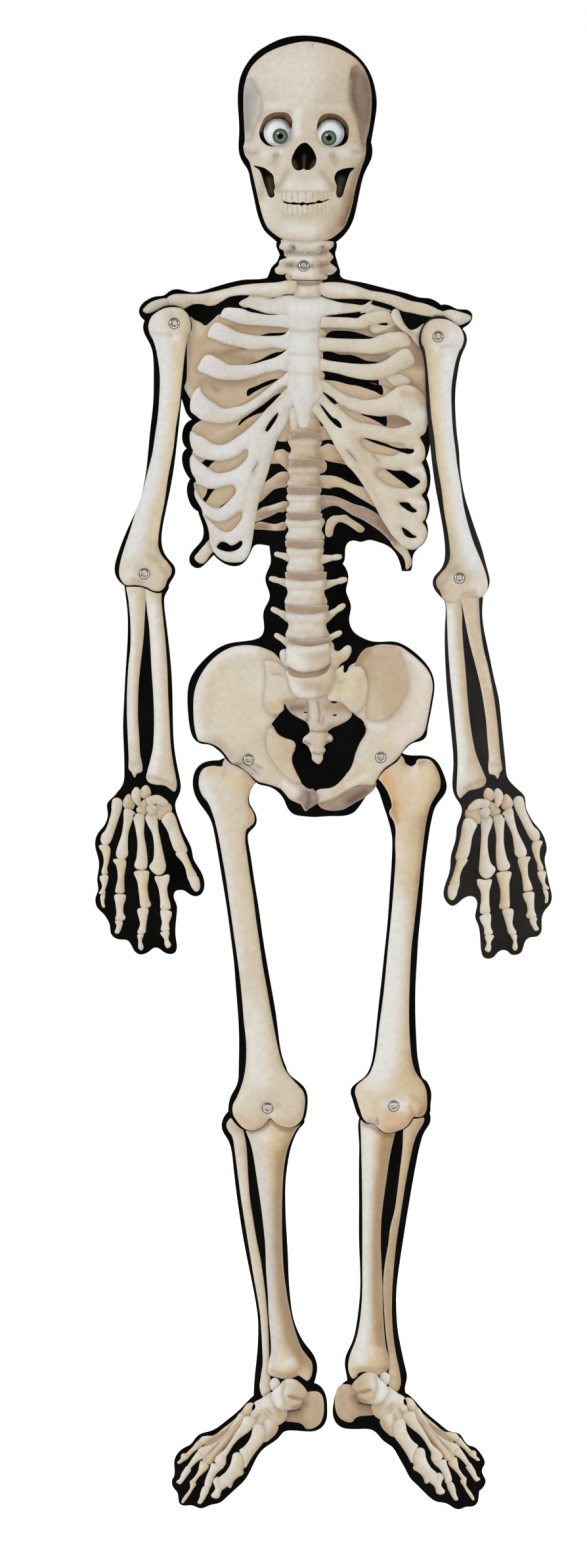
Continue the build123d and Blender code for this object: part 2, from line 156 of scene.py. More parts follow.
class Shape:
    """A closed patch of print, its holes and its colours' rules.

    side says which side is lit (1 for the left, -1 for the right), dabs are soft strokes of
    colour (colour, strength, width, path), dome is how round the bone looks (0 is flat), fill
    is the spacing of the points inside, gain brightens it, halo and rim are the colour and the
    strength of the line along its edge, and casts says whether it shades what is under it.
    """

    def __init__(self, outline, tone, side=1, dabs=(), dome=0.85, fill=FILL_STEP, gain=1.0,
                 holes=(),
                 halo=HALO, rim=0.55, casts=True):
        self.outline, self.tone, self.side, self.dabs = np.asarray(outline), tone, side, dabs
        self.dome, self.fill, self.gain, self.halo, self.rim = dome, fill, gain, halo, rim
        self.casts = casts and tone not in FLAT
        self.holes = [curve(h, True) for h in holes]

    def moved(self, place):
        """The same shape on the other side, lit from the same side. None of them has holes."""
        dabs = [(rgb, strength, width, place(np.asarray(path, float)))
                for rgb, strength, width, path in self.dabs]
        return Shape(place(self.outline), self.tone, -self.side, dabs, self.dome, self.fill,
                     self.gain,
                     halo=self.halo, rim=self.rim)


def bone(points, tone="cream", **rules):
    """A bone drawn by the points of its outline."""
    return Shape(curve(points, True), tone, **rules)


def tube(path, tone="cream", **rules):
    """A rod-like bone drawn by its centre line: (x, z, radius) at each point."""
    c = curve(path, False, EDGE_STEP * 1.5)      # a straight rod needs fewer points
    way = np.gradient(c[:, :2], axis=0)
    way /= np.linalg.norm(way, axis=1)[:, None]
    across = np.column_stack([-way[:, 1], way[:, 0]])
    left, right = c[:, :2] + across * c[:, 2:], c[:, :2] - across * c[:, 2:]
    turn = np.linspace(0, math.pi, 9)[1:-1]
    caps = []
    for end, sign in ((-1, 1), (0, -1)):
        a, w, r = across[end] * sign, way[end] * sign, c[end, 2]
        caps.append([c[end, :2] + r * (math.cos(t) * a + math.sin(t) * w) for t in turn])
    loop = np.vstack([left, caps[0], right[::-1], caps[1]])
    return Shape(curve(loop[::2], True), tone, **rules)


def gap(points):
    """A dark hole between bones."""
    return Shape(curve(points, True), "black", dome=0, fill=6.0)


def line(points, width=0.5, tone="line"):
    """A thin printed line, such as a crack."""
    ends = [(x, z, width * 0.35) for x, z in (points[0], points[-1])]
    middle = [(x, z, width) for x, z in points[1:-1]]
    return tube([ends[0], *middle, ends[1]], tone, dome=0, fill=4.0)


def placer(pivot, target, degrees):
    """Mirrors the left side's art, turns it about the pivot and puts the pivot on target."""
    c, s = math.cos(math.radians(degrees)), math.sin(math.radians(degrees))

    def place(xz):
        x, z = -xz[:, 0] - pivot[0], xz[:, 1] - pivot[1]
        return np.column_stack([target[0] + x * c - z * s, target[1] + x * s + z * c])

    return place


# ---------------------------------------------------------------- shading
def inside(points, loops):
    """Which points are inside the loops, where a loop in a loop is a hole."""
    hit = np.zeros(len(points), bool)
    for loop in loops:
        x0, z0 = loop[:, 0], loop[:, 1]
        x1, z1 = np.roll(x0, -1), np.roll(z0, -1)
        for ax, az, bx, bz in zip(x0, z0, x1, z1):
            if az != bz:
                across = (az > points[:, 1]) != (bz > points[:, 1])
                hit ^= across & (points[:, 0] < (bx - ax) * (points[:, 1] - az) / (bz - az) + ax)
    return hit


def lattice(x, z, seed):
    """A repeatable random number, -1 to 1, for each whole x and z: a sine's far decimals."""
    n = np.sin(x * 127.1 + z * 311.7 + seed * 74.7) * 43758.5453
    return (n - np.floor(n)) * 2 - 1


def mottle(xz, size, seed):
    """Smooth noise, -1 to 1, with blotches of about the given size."""
    p = xz / size
    i = np.floor(p)
    f = p - i
    f = f * f * (3 - 2 * f)
    corners = [lattice(i[:, 0] + a, i[:, 1] + b, seed) for a in (0, 1) for b in (0, 1)]
    low = corners[0] * (1 - f[:, 1]) + corners[1] * f[:, 1]
    high = corners[2] * (1 - f[:, 1]) + corners[3] * f[:, 1]
    return low * (1 - f[:, 0]) + high * f[:, 0]


def to_line(xz, points):
    """Distance from each point to a line through the given points."""
    q = np.asarray(points, float)
    if len(q) == 1:
        return np.linalg.norm(xz - q[0], axis=1)
    best = np.full(len(xz), np.inf)
    for a, b in zip(q[:-1], q[1:]):
        ab = b - a
        t = np.clip(((xz - a) @ ab) / (ab @ ab), 0, 1)[:, None]
        best = np.minimum(best, np.linalg.norm(xz - a - t * ab, axis=1))
    return best


def triangles(loops, fill, extra):
    """Points and triangles for the area inside the loops."""
    edge = np.vstack(loops)
    low, high = edge.min(axis=0), edge.max(axis=0)
    rows = np.arange(low[1] + fill * 0.5, high[1], fill * ROW_STEP)
    grid = []
    for k, z in enumerate(rows):
        xs = np.arange(low[0] + (k % 2) * fill * 0.5, high[0], fill)
        grid.append(np.column_stack([xs, np.full(len(xs), z)]))
    inner = np.vstack(grid) if grid else np.zeros((0, 2))
    inner = inner[inside(inner, loops)] if len(inner) else inner
    if len(inner):
        tree = KDTree(len(edge))
        for k, (x, z) in enumerate(edge):
            tree.insert((x, z, 0), k)
        tree.balance()
        far = np.array([tree.find((x, z, 0))[2] for x, z in inner])
        inner = inner[far > fill * 0.5]
    points = np.vstack([edge, inner, extra])
    joins, start = [], 0
    for loop in loops:
        n = len(loop)
        joins += [(start + k, start + (k + 1) % n) for k in range(n)]
        start += n
    found = delaunay_2d_cdt([Vector(p) for p in points], joins, [], 0, SAME_POINT)
    new = np.array([tuple(v) for v in found[0]])
    faces = np.array([f for f in found[2] if len(f) == 3])
    keep = inside(new[faces].mean(axis=1), loops)
    faces = faces[keep]
    a, b, c = (new[faces[:, k]] for k in range(3))
    area = (b[:, 0] - a[:, 0]) * (c[:, 1] - a[:, 1]) - (b[:, 1] - a[:, 1]) * (c[:, 0] - a[:, 0])
    solid = np.abs(area) > NO_AREA
    faces, area = faces[solid], area[solid]
    faces[area < 0] = faces[area < 0][:, ::-1]
    return new, faces


def rim_edges(faces):
    """The edges with one face, in the faces' direction."""
    edges = np.vstack([faces[:, [0, 1]], faces[:, [1, 2]], faces[:, [2, 0]]])
    one = {tuple(e) for e in edges}
    return np.array([e for e in one if (e[1], e[0]) not in one])


def swell(points, faces, rim):
    """Slopes of a skin blown up over the shape: -(du/dx), -(du/dz) and its height."""
    n = len(points)
    tri = points[faces]
    e = np.stack([tri[:, 2] - tri[:, 1], tri[:, 0] - tri[:, 2], tri[:, 1] - tri[:, 0]], axis=1)
    area = 0.5 * np.abs(e[:, 0, 0] * e[:, 1, 1] - e[:, 0, 1] * e[:, 1, 0])
    stiff = np.einsum("fik,fjk->fij", e, e) / (4 * area)[:, None, None]
    row = np.repeat(faces[:, :, None], 3, axis=2).ravel()
    col = np.repeat(faces[:, None, :], 3, axis=1).ravel()
    weight = stiff.ravel()
    free = np.ones(n, bool)
    free[np.unique(rim)] = False
    load = np.bincount(faces.ravel(), np.repeat(area / 3, 3), n) * free
    scale = np.maximum(np.bincount(row, weight * (row == col), n), TINY)

    def apply(v):
        return np.bincount(row, weight * v[col], n) * free

    u, r = np.zeros(n), load.copy()
    y = r / scale
    p, size = y.copy(), r @ y
    for _ in range(SWELL_ROUNDS):
        if size < SWELL_DONE:
            break
        ap = apply(p)
        step = size / (p @ ap)
        u += step * p
        r -= step * ap
        y = r / scale
        p, size = y + (r @ y) / size * p, r @ y
    slope = np.einsum("fik,fi->fk", np.stack([-e[:, :, 1], e[:, :, 0]], axis=2), u[faces])
    slope /= (2 * area)[:, None]
    total = np.bincount(faces.ravel(), np.repeat(area, 3), n)
    at = [np.bincount(faces.ravel(), np.repeat(slope[:, k] * area, 3), n) / np.maximum(total, TINY)
          for k in (0, 1)]
    return -at[0], -at[1], np.sqrt(np.maximum(2 * u, 0))


def colours(shape, points, faces, rim, seed):
    """The print's colours: a soft light from one side and above, mottling, then the dabs."""
    ramp = [srgb(c) for c in TONES[shape.tone]]
    if shape.dome == 0:
        return np.tile(ramp[1], (len(points), 1))
    sx, sz, high = swell(points, faces, rim)
    slope = np.hypot(sx, sz) * shape.dome
    size = np.sqrt(slope**2 + high**2) + TINY
    nx, nz, face_on = sx * shape.dome / size, sz * shape.dome / size, high / size
    lit = FACING - FROM_SIDE * shape.side * nx + FROM_TOP * nz
    lit -= CURVED * (1 - face_on) ** CURVE_POWER
    lit += sum(share * mottle(points, blotch, seed + offset) for share, blotch, offset in MOTTLES)
    lit = np.clip(lit * shape.gain, 0, 1)[:, None]
    low = ramp[0] + (ramp[1] - ramp[0]) * np.clip(lit * 2, 0, 1)
    colour = low + (ramp[2] - ramp[1]) * np.clip(lit * 2 - 1, 0, 1)
    for rgb, strength, width, path in shape.dabs:
        w = strength * np.exp(-(to_line(points, path) / width) ** 2)[:, None]
        colour = colour * (1 - w) + srgb(rgb) * w
    if shape.tone != "black":
        edge = np.unique(rim)
        glow = srgb(shape.halo) * (0.5 + 0.5 * lit[edge])
        colour[edge] = colour[edge] * (1 - shape.rim) + glow * shape.rim
    return colour


# ---------------------------------------------------------------- print pieces
PRINTS = []                # (card, name, level, shapes) of every piece, in order


def printed(card, name, level, *shapes):
    """Notes a piece of print, to be made once the materials are there."""
    PRINTS.append((card, name, level, shapes))


def shade_round_eyelets(points, painted):
    """Painted shadow of each eyelet's flange: darkens the print close round it, not inside its
    ring.
    """
    centres = np.array(list(EYELETS.values()))
    far = np.linalg.norm(points[:, None] - centres[None], axis=2).min(axis=1)
    start, end = FLANGE_RINGS[0], FLANGE_RINGS[-1]
    depth = FLANGE_SHADE * np.clip((end - far) / (end - start), 0, 1)
    depth[far < BARREL_R] = 0
    return painted * (1 - depth[:, None])


def make_prints():
    """Builds every printed piece, and shades each bone where another one lies over it."""
    rings = np.vstack([circle(x, z, r, 32) for x, z in EYELETS.values() for r in FLANGE_RINGS])
    cuts = [circle(x, z, BARREL_R) for x, z in EYELETS.values()]
    cuts.append(circle(HOLE_X, HOLE_Z, PIN_R, 14))
    patches = {}
    seed = 0
    for card, name, level, shapes in PRINTS:
        for shape in shapes:
            seed += 1
            outlines = [shape.outline, *shape.holes]
            loops = outlines + [cut for cut in cuts if inside(cut, outlines).all()]
            points, faces = triangles(loops, shape.fill, rings[inside(rings, outlines)])
            rim = rim_edges(faces)
            painted = shade_round_eyelets(points, colours(shape, points, faces, rim, seed))
            patches.setdefault(card, []).append(SimpleNamespace(
                name=name, level=level, shape=shape, points=points, faces=faces, rim=rim,
                painted=painted))
    for card, items in patches.items():
        for item in items:
            over = [other.points[np.unique(other.rim)] for other in items
                    if other.level > item.level and other.shape.casts]
            if over and item.shape.tone != "black":
                shade_under(item, np.vstack(over))
        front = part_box(card + "_card")[0][1]
        for name in dict.fromkeys(item.name for item in items):
            write_piece(card, name, [item for item in items if item.name == name], front)


def shade_under(item, edges):
    """Darkens the print beside the edges of what lies over it."""
    tree = KDTree(len(edges))
    for k, (x, z) in enumerate(edges):
        tree.insert((x, z, 0), k)
    tree.balance()
    far = np.array([tree.find((x, z, 0))[2] for x, z in item.points])
    depth = CAST_STRENGTH * np.exp(-far / CAST_REACH)[:, None]
    item.painted = item.painted * (1 - depth) + item.painted * np.array(CAST_TINT) * depth


def write_piece(card, name, items, front):
    """One mesh of thin closed films, with the colours on its points."""
    verts, faces, paint = [], [], []
    base = 0
    for k, item in enumerate(items):
        lift = FIRST_LEVEL + LEVEL_STEP * item.level + SHAPE_STEP * (k % SHAPE_CYCLE)
        top = front - lift * MM
        n = len(item.points)
        x, z = (item.points[:, 0] - HOLE_X) * MM, (item.points[:, 1] - HOLE_Z) * MM
        verts.append(np.column_stack([x, np.full(n, top), z]))
        verts.append(np.column_stack([x, np.full(n, top + FILM * MM), z]))
        faces += [tuple(base + i for i in f) for f in item.faces]
        faces += [tuple(base + n + i for i in f[::-1]) for f in item.faces]
        faces += [(base + b, base + a, base + n + a, base + n + b) for a, b in item.rim]
        paint += [item.painted, item.painted]
        base += 2 * n
    mesh = bpy.data.meshes.new(name)
    mesh.from_pydata(np.vstack(verts).tolist(), [], faces)
    mesh.validate()
    ink = mesh.color_attributes.new("ink", "FLOAT_COLOR", "POINT")
    with_alpha = np.column_stack([np.clip(np.vstack(paint), 0, 1), np.ones(base)])
    ink.data.foreach_set("color", with_alpha.ravel())
    mesh.materials.append(PRINT)
    piece = bpy.data.objects.new(name, mesh)
    bpy.context.scene.collection.objects.link(piece)
    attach(piece, card)


# ---------------------------------------------------------------- the skull
SKULL = bone(
    [(5, 1676), (-15, 1673.5), (-35, 1667), (-50, 1658), (-62, 1645), (-69, 1625), (-70, 1603),
     (-69, 1578), (-68.5, 1563), (-70, 1555), (-68, 1546), (-63, 1538), (-59, 1522), (-55, 1505),
     (-51, 1487), (-47, 1473), (-42, 1463), (-34, 1455.5), (-24, 1450), (-8, 1447.5), (12, 1447.5),
     (28, 1450), (38, 1456.5), (46, 1465), (51, 1477), (55, 1493), (59, 1512), (64, 1529),
     (68, 1540), (70, 1550), (70.5, 1562), (74, 1578), (76.5, 1600), (76, 1620), (71, 1639),
     (61, 1654), (47, 1664), (28, 1672)],
    "cream", side=0.8, dome=0.6, fill=2.0,
    dabs=[
        (GLOW, 0.4, 24, [(-22, 1640), (8, 1648)]), (GLOW, 0.25, 16, [(-12, 1605), (-6, 1620)]),
        ((206, 190, 164), 0.65, 20, [(40, 1655), (52, 1640)]),
        ((196, 180, 154), 0.6, 14, [(40, 1622), (28, 1608)]),
        ((206, 192, 168), 0.45, 7, [(3, 1592), (2, 1570)]),
        (GLOW, 0.8, 5, [(-9, 1596), (-8, 1570)]), (GLOW, 0.6, 5, [(-42, 1601), (-24, 1602)]),
        (GLOW, 0.4, 5, [(22, 1599), (40, 1598)]),
        (SHADOW, 0.2, 4, [(-52, 1586), (-44, 1596), (-28, 1599), (-16, 1594)]),
        (SHADOW, 0.25, 4, [(14, 1590), (24, 1597), (40, 1595), (50, 1586)]),
        (GLOW, 0.6, 7, [(-46, 1548), (-30, 1550)]), (GLOW, 0.5, 7, [(28, 1548), (46, 1549)]),
        (SHADOW, 0.35, 5, [(-33, 1546), (-36, 1538)]), (SHADOW, 0.35, 5, [(32, 1546), (36, 1538)]),
        (SHADOW, 0.45, 4, [(-20, 1528), (-26, 1516), (-32, 1508)]),
        (SHADOW, 0.45, 4, [(20, 1527), (27, 1516), (33, 1508)]),
        (GLOW, 0.6, 6, [(-18, 1512), (18, 1511)]),
        (SHADOW, 0.3, 1.6, [(-30, 1504.5), (-18, 1503.5), (0, 1504), (18, 1504), (29, 1505.5)]),
        (SHADOW, 0.15, 3.5, [(-24, 1477), (0, 1475.5), (22, 1477)]),
        (GLOW, 0.7, 9, [(-18, 1462), (6, 1460)]), (GLOW, 0.35, 9, [(-44, 1486), (-38, 1472)]),
        (SHADOW, 0.55, 8, [(46, 1476), (52, 1500)]), (SHADOW, 0.35, 6, [(30, 1458), (42, 1470)]),
        ((168, 150, 120), 0.5, 5, [(-46, 1524), (-50, 1500)]),
        ((158, 134, 112), 0.8, 6, [(60, 1528), (56, 1508), (51, 1484)]),
        (GLOW, 0.35, 5, [(62, 1546), (56, 1554)]),
        ((112, 92, 76), 0.75, 6, [(71, 1541), (68, 1528), (62, 1508), (56, 1486), (48, 1468)]),
        ((120, 100, 84), 0.7, 5, [(75, 1566), (78, 1590), (78, 1616), (73, 1638)]),
    ],
)
TEMPLES = [
    bone([(-68, 1627), (-64.5, 1632), (-60, 1632), (-54, 1622), (-50, 1610), (-49.5, 1600),
          (-53, 1590), (-57.5, 1578), (-60.5, 1567), (-64, 1562), (-68, 1566), (-69, 1585),
          (-69.5, 1605)],
         "white", dome=0.2, gain=0.6, rim=0.15,
         dabs=[((172, 169, 163), 0.8, 12, [(-60, 1622), (-63, 1604), (-64, 1580)]),
               ((148, 143, 134), 0.5, 4, [(-66, 1614), (-67, 1596), (-66, 1576)]),
               ((204, 198, 188), 0.6, 4, [(-50, 1612), (-51, 1600), (-57, 1583)])]),
    bone([(53, 1644), (57, 1648), (62, 1648), (69, 1639), (73.5, 1625), (75.5, 1605), (73, 1582),
          (70.5, 1568), (68, 1556), (65, 1560), (62.5, 1573), (59, 1586), (54, 1598), (50.5, 1610),
          (50.5, 1626)],
         "brown", dome=0.2, side=-1, rim=0.15,
         dabs=[((107, 87, 71), 0.75, 6, [(56, 1638), (54, 1618), (57, 1602), (62, 1588)]),
               ((132, 112, 95), 0.75, 8, [(68, 1632), (69, 1604), (67, 1575)]),
               ((184, 166, 138), 0.6, 2.2, [(52, 1632), (50.5, 1614), (54, 1600), (60, 1585)]),
               ((96, 82, 70), 0.6, 3, [(71, 1636), (75, 1612), (73, 1583)])]),
]
SOCKETS = [
    bone([(-50, 1580), (-46, 1588.5), (-38, 1594), (-28, 1595.5), (-19.5, 1594), (-14.5, 1587),
          (-14.5, 1579), (-17, 1571), (-21, 1563.5), (-28, 1558), (-36, 1556), (-44, 1558),
          (-50, 1564), (-52, 1572)],
         "black", dome=0.5, fill=1.4,
         dabs=[((126, 96, 66), 0.9, 4.5, [(-47, 1586), (-36, 1594), (-22, 1595), (-15, 1587)]),
               ((150, 120, 88), 0.5, 2.5, [(-51, 1575), (-48, 1586)])]),
    bone([(15, 1584), (19, 1591), (27, 1594), (37, 1592.5), (45, 1587), (50, 1579), (50.5, 1570),
          (48, 1561.5), (42, 1557), (33, 1555.5), (24, 1557.5), (17.5, 1564), (14.5, 1574)],
         "black", dome=0.5, fill=1.4,
         dabs=[((120, 92, 64), 0.85, 4.5, [(16, 1587), (27, 1594), (38, 1592), (47, 1585)]),
               ((140, 112, 82), 0.45, 2.5, [(50, 1580), (51, 1571)])]),
]
NOSE = bone(
    [(1, 1560.5), (-5, 1558.5), (-10, 1553), (-14, 1545), (-15, 1538), (-12.5, 1531.5),
     (-8, 1528.5), (-3.5, 1529.5), (-1, 1530.5), (2, 1529), (7, 1530), (12, 1535), (13.5, 1542),
     (11, 1550), (6, 1557)],
    "black", dome=0.5, fill=1.5,
    dabs=[((96, 72, 50), 0.55, 1.5, [(-1, 1531), (-0.5, 1545)]),
          ((84, 62, 44), 0.6, 2.5, [(-13, 1538), (-10, 1532)]),
          ((84, 62, 44), 0.6, 2.5, [(12, 1538), (8, 1532)])],
)
CHEEK_GAPS = [
    bone([(-59, 1534.2), (-52, 1533.2), (-46, 1531.5), (-41, 1528), (-36, 1523), (-35, 1516),
          (-33.8, 1510), (-35, 1505), (-34.5, 1500), (-38, 1497.3), (-41.5, 1500), (-44.2, 1507.5),
          (-46.8, 1515), (-48.8, 1522), (-52, 1529)],
         "black", dome=0.5, fill=1.6,
         dabs=[((74, 66, 50), 0.7, 3.5, [(-40, 1518), (-38, 1504)])]),
    bone([(34, 1519), (36, 1526), (41, 1529.5), (49, 1531.5), (57, 1531.5), (52, 1526),
          (48.5, 1517), (45.5, 1507), (43, 1499.5), (38.5, 1497.5), (36, 1502), (36.5, 1511)],
         "black", dome=0.5, fill=1.6,
         dabs=[((70, 62, 46), 0.7, 3.5, [(42, 1518), (39, 1503)])]),
]
FORAMINA = [
    bone([(x - 2, 1546), (x, 1547.6), (x + 2, 1546), (x, 1544.4)], "tan", dome=0.3, fill=1.2)
    for x in (-32.5, 31.5)
]
SUTURES = [
    line([(-69, 1552), (-62, 1548), (-55, 1549)], 0.35, "tan"),
    line([(69, 1553), (62, 1549), (56, 1551)], 0.35, "tan"),
    line([(56, 1496), (50, 1478), (42, 1466)], 0.35, "tan"),
]

IRIS_R, PUPIL_R, GLINT_R = 8.8, 3.4, 1.25
IRIS, IRIS_EDGE, PUPIL = (104, 126, 104), (44, 60, 46), (8, 10, 8)
IRIS_RAYS = ((140, 158, 132), (62, 84, 64))    # light and dark by turns
RAY_COUNT, RAY_FROM, RAY_TO = 28, 3.8, 7.4


def arc(x, z, r, start, end, count):
    """Points along a part of a circle, from one angle to the other."""
    return [(x + r * math.cos(a), z + r * math.sin(a)) for a in np.linspace(start, end, count)]


def eyeball(x, z, r, look_x, look_z):
    """A white eyeball, its green iris, its pupil and the light in it."""
    rays = []
    for k in range(RAY_COUNT):
        a = k * math.tau / RAY_COUNT
        ray = [(look_x + far * math.cos(a), look_z + far * math.sin(a)) for far in (RAY_FROM,
                                                                                    RAY_TO)]
        rays.append((IRIS_RAYS[k % 2], 0.5, 0.6, ray))
    iris_edge = circle(look_x, look_z, IRIS_R, 22).tolist() + [(look_x + IRIS_R, look_z)]
    ball = bone(circle(x, z, r, 14), "eye", dome=1.0, fill=1.4,
                dabs=[((120, 128, 146), 0.45, 3.2, arc(x, z, r, 2.2, 7.2, 14)),
                      ((40, 38, 40), 0.85, 3.0, arc(x, z, r, 0.5, 2.7, 10)),
                      ((240, 240, 240), 0.8, 5, [(x - 6, z + 4), (x - 8, z - 4)])])
    ring = bone(circle(look_x, look_z, IRIS_R, 14), "black", dome=0.3, fill=0.7, rim=0.1,
                dabs=[(IRIS, 1.0, 9.0, [(look_x, look_z)]), *rays,
                      (IRIS_EDGE, 0.95, 1.5, iris_edge)])
    dot = bone(circle(look_x, look_z, PUPIL_R, 12), "black", dome=0.2, fill=1.0, rim=0.1,
               dabs=[(PUPIL, 1.0, 5, [(look_x, look_z)])])
    glint = bone(circle(look_x - 2.6, look_z + 3.4, GLINT_R, 10), "eye", dome=0.1, gain=2)
    return ball, ring, dot, glint


EYES = [eyeball(-31, 1571.8, 15.9, -27.9, 1567.8), eyeball(30, 1571.3, 15.4, 27.7, 1565.8)]


def tooth(x, width, gum, tip, lean=0.0):
    """A tooth: square at the biting edge, round at the gum."""
    w, t = width / 2 - 0.15, tip - gum
    outline = [(-0.5, 0), (0.5, 0), (0.92, 0.2), (1, 0.7), (0.75, 1), (-0.75, 1), (-1, 0.7),
               (-0.92, 0.2)]
    dabs = [((200, 182, 148), min(0.05 * x, 0.7), 9, [(x, gum + t / 2)])] if x > 0 else ()
    return bone([(x + w * a + lean * b, gum + t * b) for a, b in outline], "tooth", dome=0.45,
                fill=1.2, halo=(196, 176, 144), rim=0.45, dabs=dabs)


# x of each tooth's middle, and the tooth's width
UPPER = [(-28.5, 4.6), (-23.6, 5.4), (-17.6, 6.6), (-10.8, 7.0), (-3.0, 8.8), (5.6, 8.4),
         (13.0, 6.6), (19.2, 5.8), (24.6, 5.0), (29.2, 4.4)]
LOWER = [(-21.5, 4.8), (-16.4, 5.4), (-10.8, 5.8), (-5.0, 5.6), (0.6, 5.6), (6.2, 5.6), (12.0, 5.6),
         (17.4, 5.2), (22.2, 4.6)]


def bite(x):
    """Height of the line where the teeth meet."""
    return 1490.6 + 0.0045 * x * x


UPPER_GUM, LOWER_GUM = 1504.5, 1478.5
UPPER_TEETH = [tooth(x, w, UPPER_GUM - 0.0008 * x * x, bite(x) + 0.6, -x * 0.02) for x, w in UPPER]
LOWER_TEETH = [tooth(x, w, LOWER_GUM, bite(x) - 0.9, x * 0.01) for x, w in LOWER]
MOUTH = gap([(-25.5, 1493.8), (-22, 1490.9), (-16, 1490.1), (-12, 1489.4), (-6, 1489.5), (-4, 1488),
             (-1.5, 1489.2), (2, 1489.5), (3.2, 1488), (5, 1489.4), (9.5, 1490), (13.5, 1491),
             (18.5, 1491.3), (22, 1492.8), (26, 1494.3), (29, 1495.8), (25, 1495.4), (20, 1493.7),
             (15.8, 1494.6), (12, 1492.2), (8.5, 1492.4), (4, 1491.6), (0, 1491.7), (-2, 1492.9),
             (-5, 1491.6), (-10, 1491.8), (-12.3, 1492.8), (-15, 1491.8), (-20, 1492.6)])

printed("head", "skull", 1, SKULL)
printed("head", "temples", 2, *TEMPLES)
printed("head", "face_hollows", 2, *SOCKETS, NOSE, *CHEEK_GAPS)
printed("head", "skull_sutures", 3, *FORAMINA, *SUTURES)
printed("head", "eyeballs", 3, *(e[0] for e in EYES))
printed("head", "irises", 4, *(e[1] for e in EYES))
printed("head", "pupils", 5, *(e[2] for e in EYES))
printed("head", "eye_lights", 6, *(e[3] for e in EYES))
printed("head", "upper_teeth", 4, *UPPER_TEETH)
printed("head", "lower_teeth", 3, *LOWER_TEETH)
printed("head", "bite_line", 5, MOUTH)

# ---------------------------------------------------------------- neck, on the head card
NECK_SHADE = (118, 88, 58)

printed(
    "head", "neck_bones", 0,
    bone([(-22, 1450), (-27, 1446), (-29, 1440), (-24, 1437), (-23, 1431), (-20, 1429), (-28, 1426),
          (-30, 1420), (-34, 1416), (-32.5, 1411), (-26, 1409.5), (-20, 1410), (-16, 1404.6),
          (0, 1403.4), (18, 1404), (22, 1410), (28, 1409), (33, 1411), (37, 1416), (33, 1420),
          (29, 1424), (33, 1429), (30, 1434), (27.5, 1437), (32, 1441), (33, 1444), (28, 1448)],
         "cream", side=0.7, dome=0.7,
         dabs=[(GLOW, 0.8, 6, [(-14, 1428), (4, 1428)]), (GLOW, 0.7, 6, [(-10, 1412), (6, 1412)]),
               (NECK_SHADE, 0.75, 3, [(-20, 1435.5), (-14, 1436.5)]),
               (NECK_SHADE, 0.75, 3, [(19, 1435), (25, 1436)]),
               (NECK_SHADE, 0.7, 2.6, [(-20, 1420), (-14, 1420)]),
               (NECK_SHADE, 0.7, 2.6, [(19, 1420), (26, 1421)]),
               (GLOW, 0.5, 4, [(-20, 1445), (18, 1445)]),
               (SHADOW, 0.6, 4, [(20, 1414), (30, 1414)]),
               (SHADOW, 0.5, 3, [(-22, 1433), (22, 1433)]),
               (SHADOW, 0.5, 3, [(-24, 1422), (-14, 1423)]),
               (SHADOW, 0.5, 3, [(18, 1422), (26, 1425)])]),
    bone([(-22, 1409), (-17, 1410), (-14, 1406), (-15, 1403.5), (-20, 1404)], "warm", gain=0.5),
    bone([(17, 1406), (20, 1410), (26, 1408.5), (25, 1404.5), (18, 1403.5)], "warm", gain=0.5),
)
printed(
    "head", "neck_discs", 1,
    bone([(-12, 1438), (-6, 1436), (4, 1435.5), (14, 1436.5), (18, 1439), (17, 1434.5), (8, 1433),
          (-4, 1433), (-10, 1434.5)], "disc", gain=1.15),
    bone([(-13, 1422), (-4, 1421.5), (10, 1421.5), (18, 1423), (17, 1418.5), (6, 1417.5),
          (-6, 1418), (-12, 1418.5)], "disc", gain=1.2),
    bone([(-17, 1443), (-12, 1443), (-10, 1439), (-13, 1438), (-16, 1440)], "line", dome=0.3),
    bone([(17, 1440), (19, 1443), (23, 1441.5), (21, 1438)], "line", dome=0.3),
)

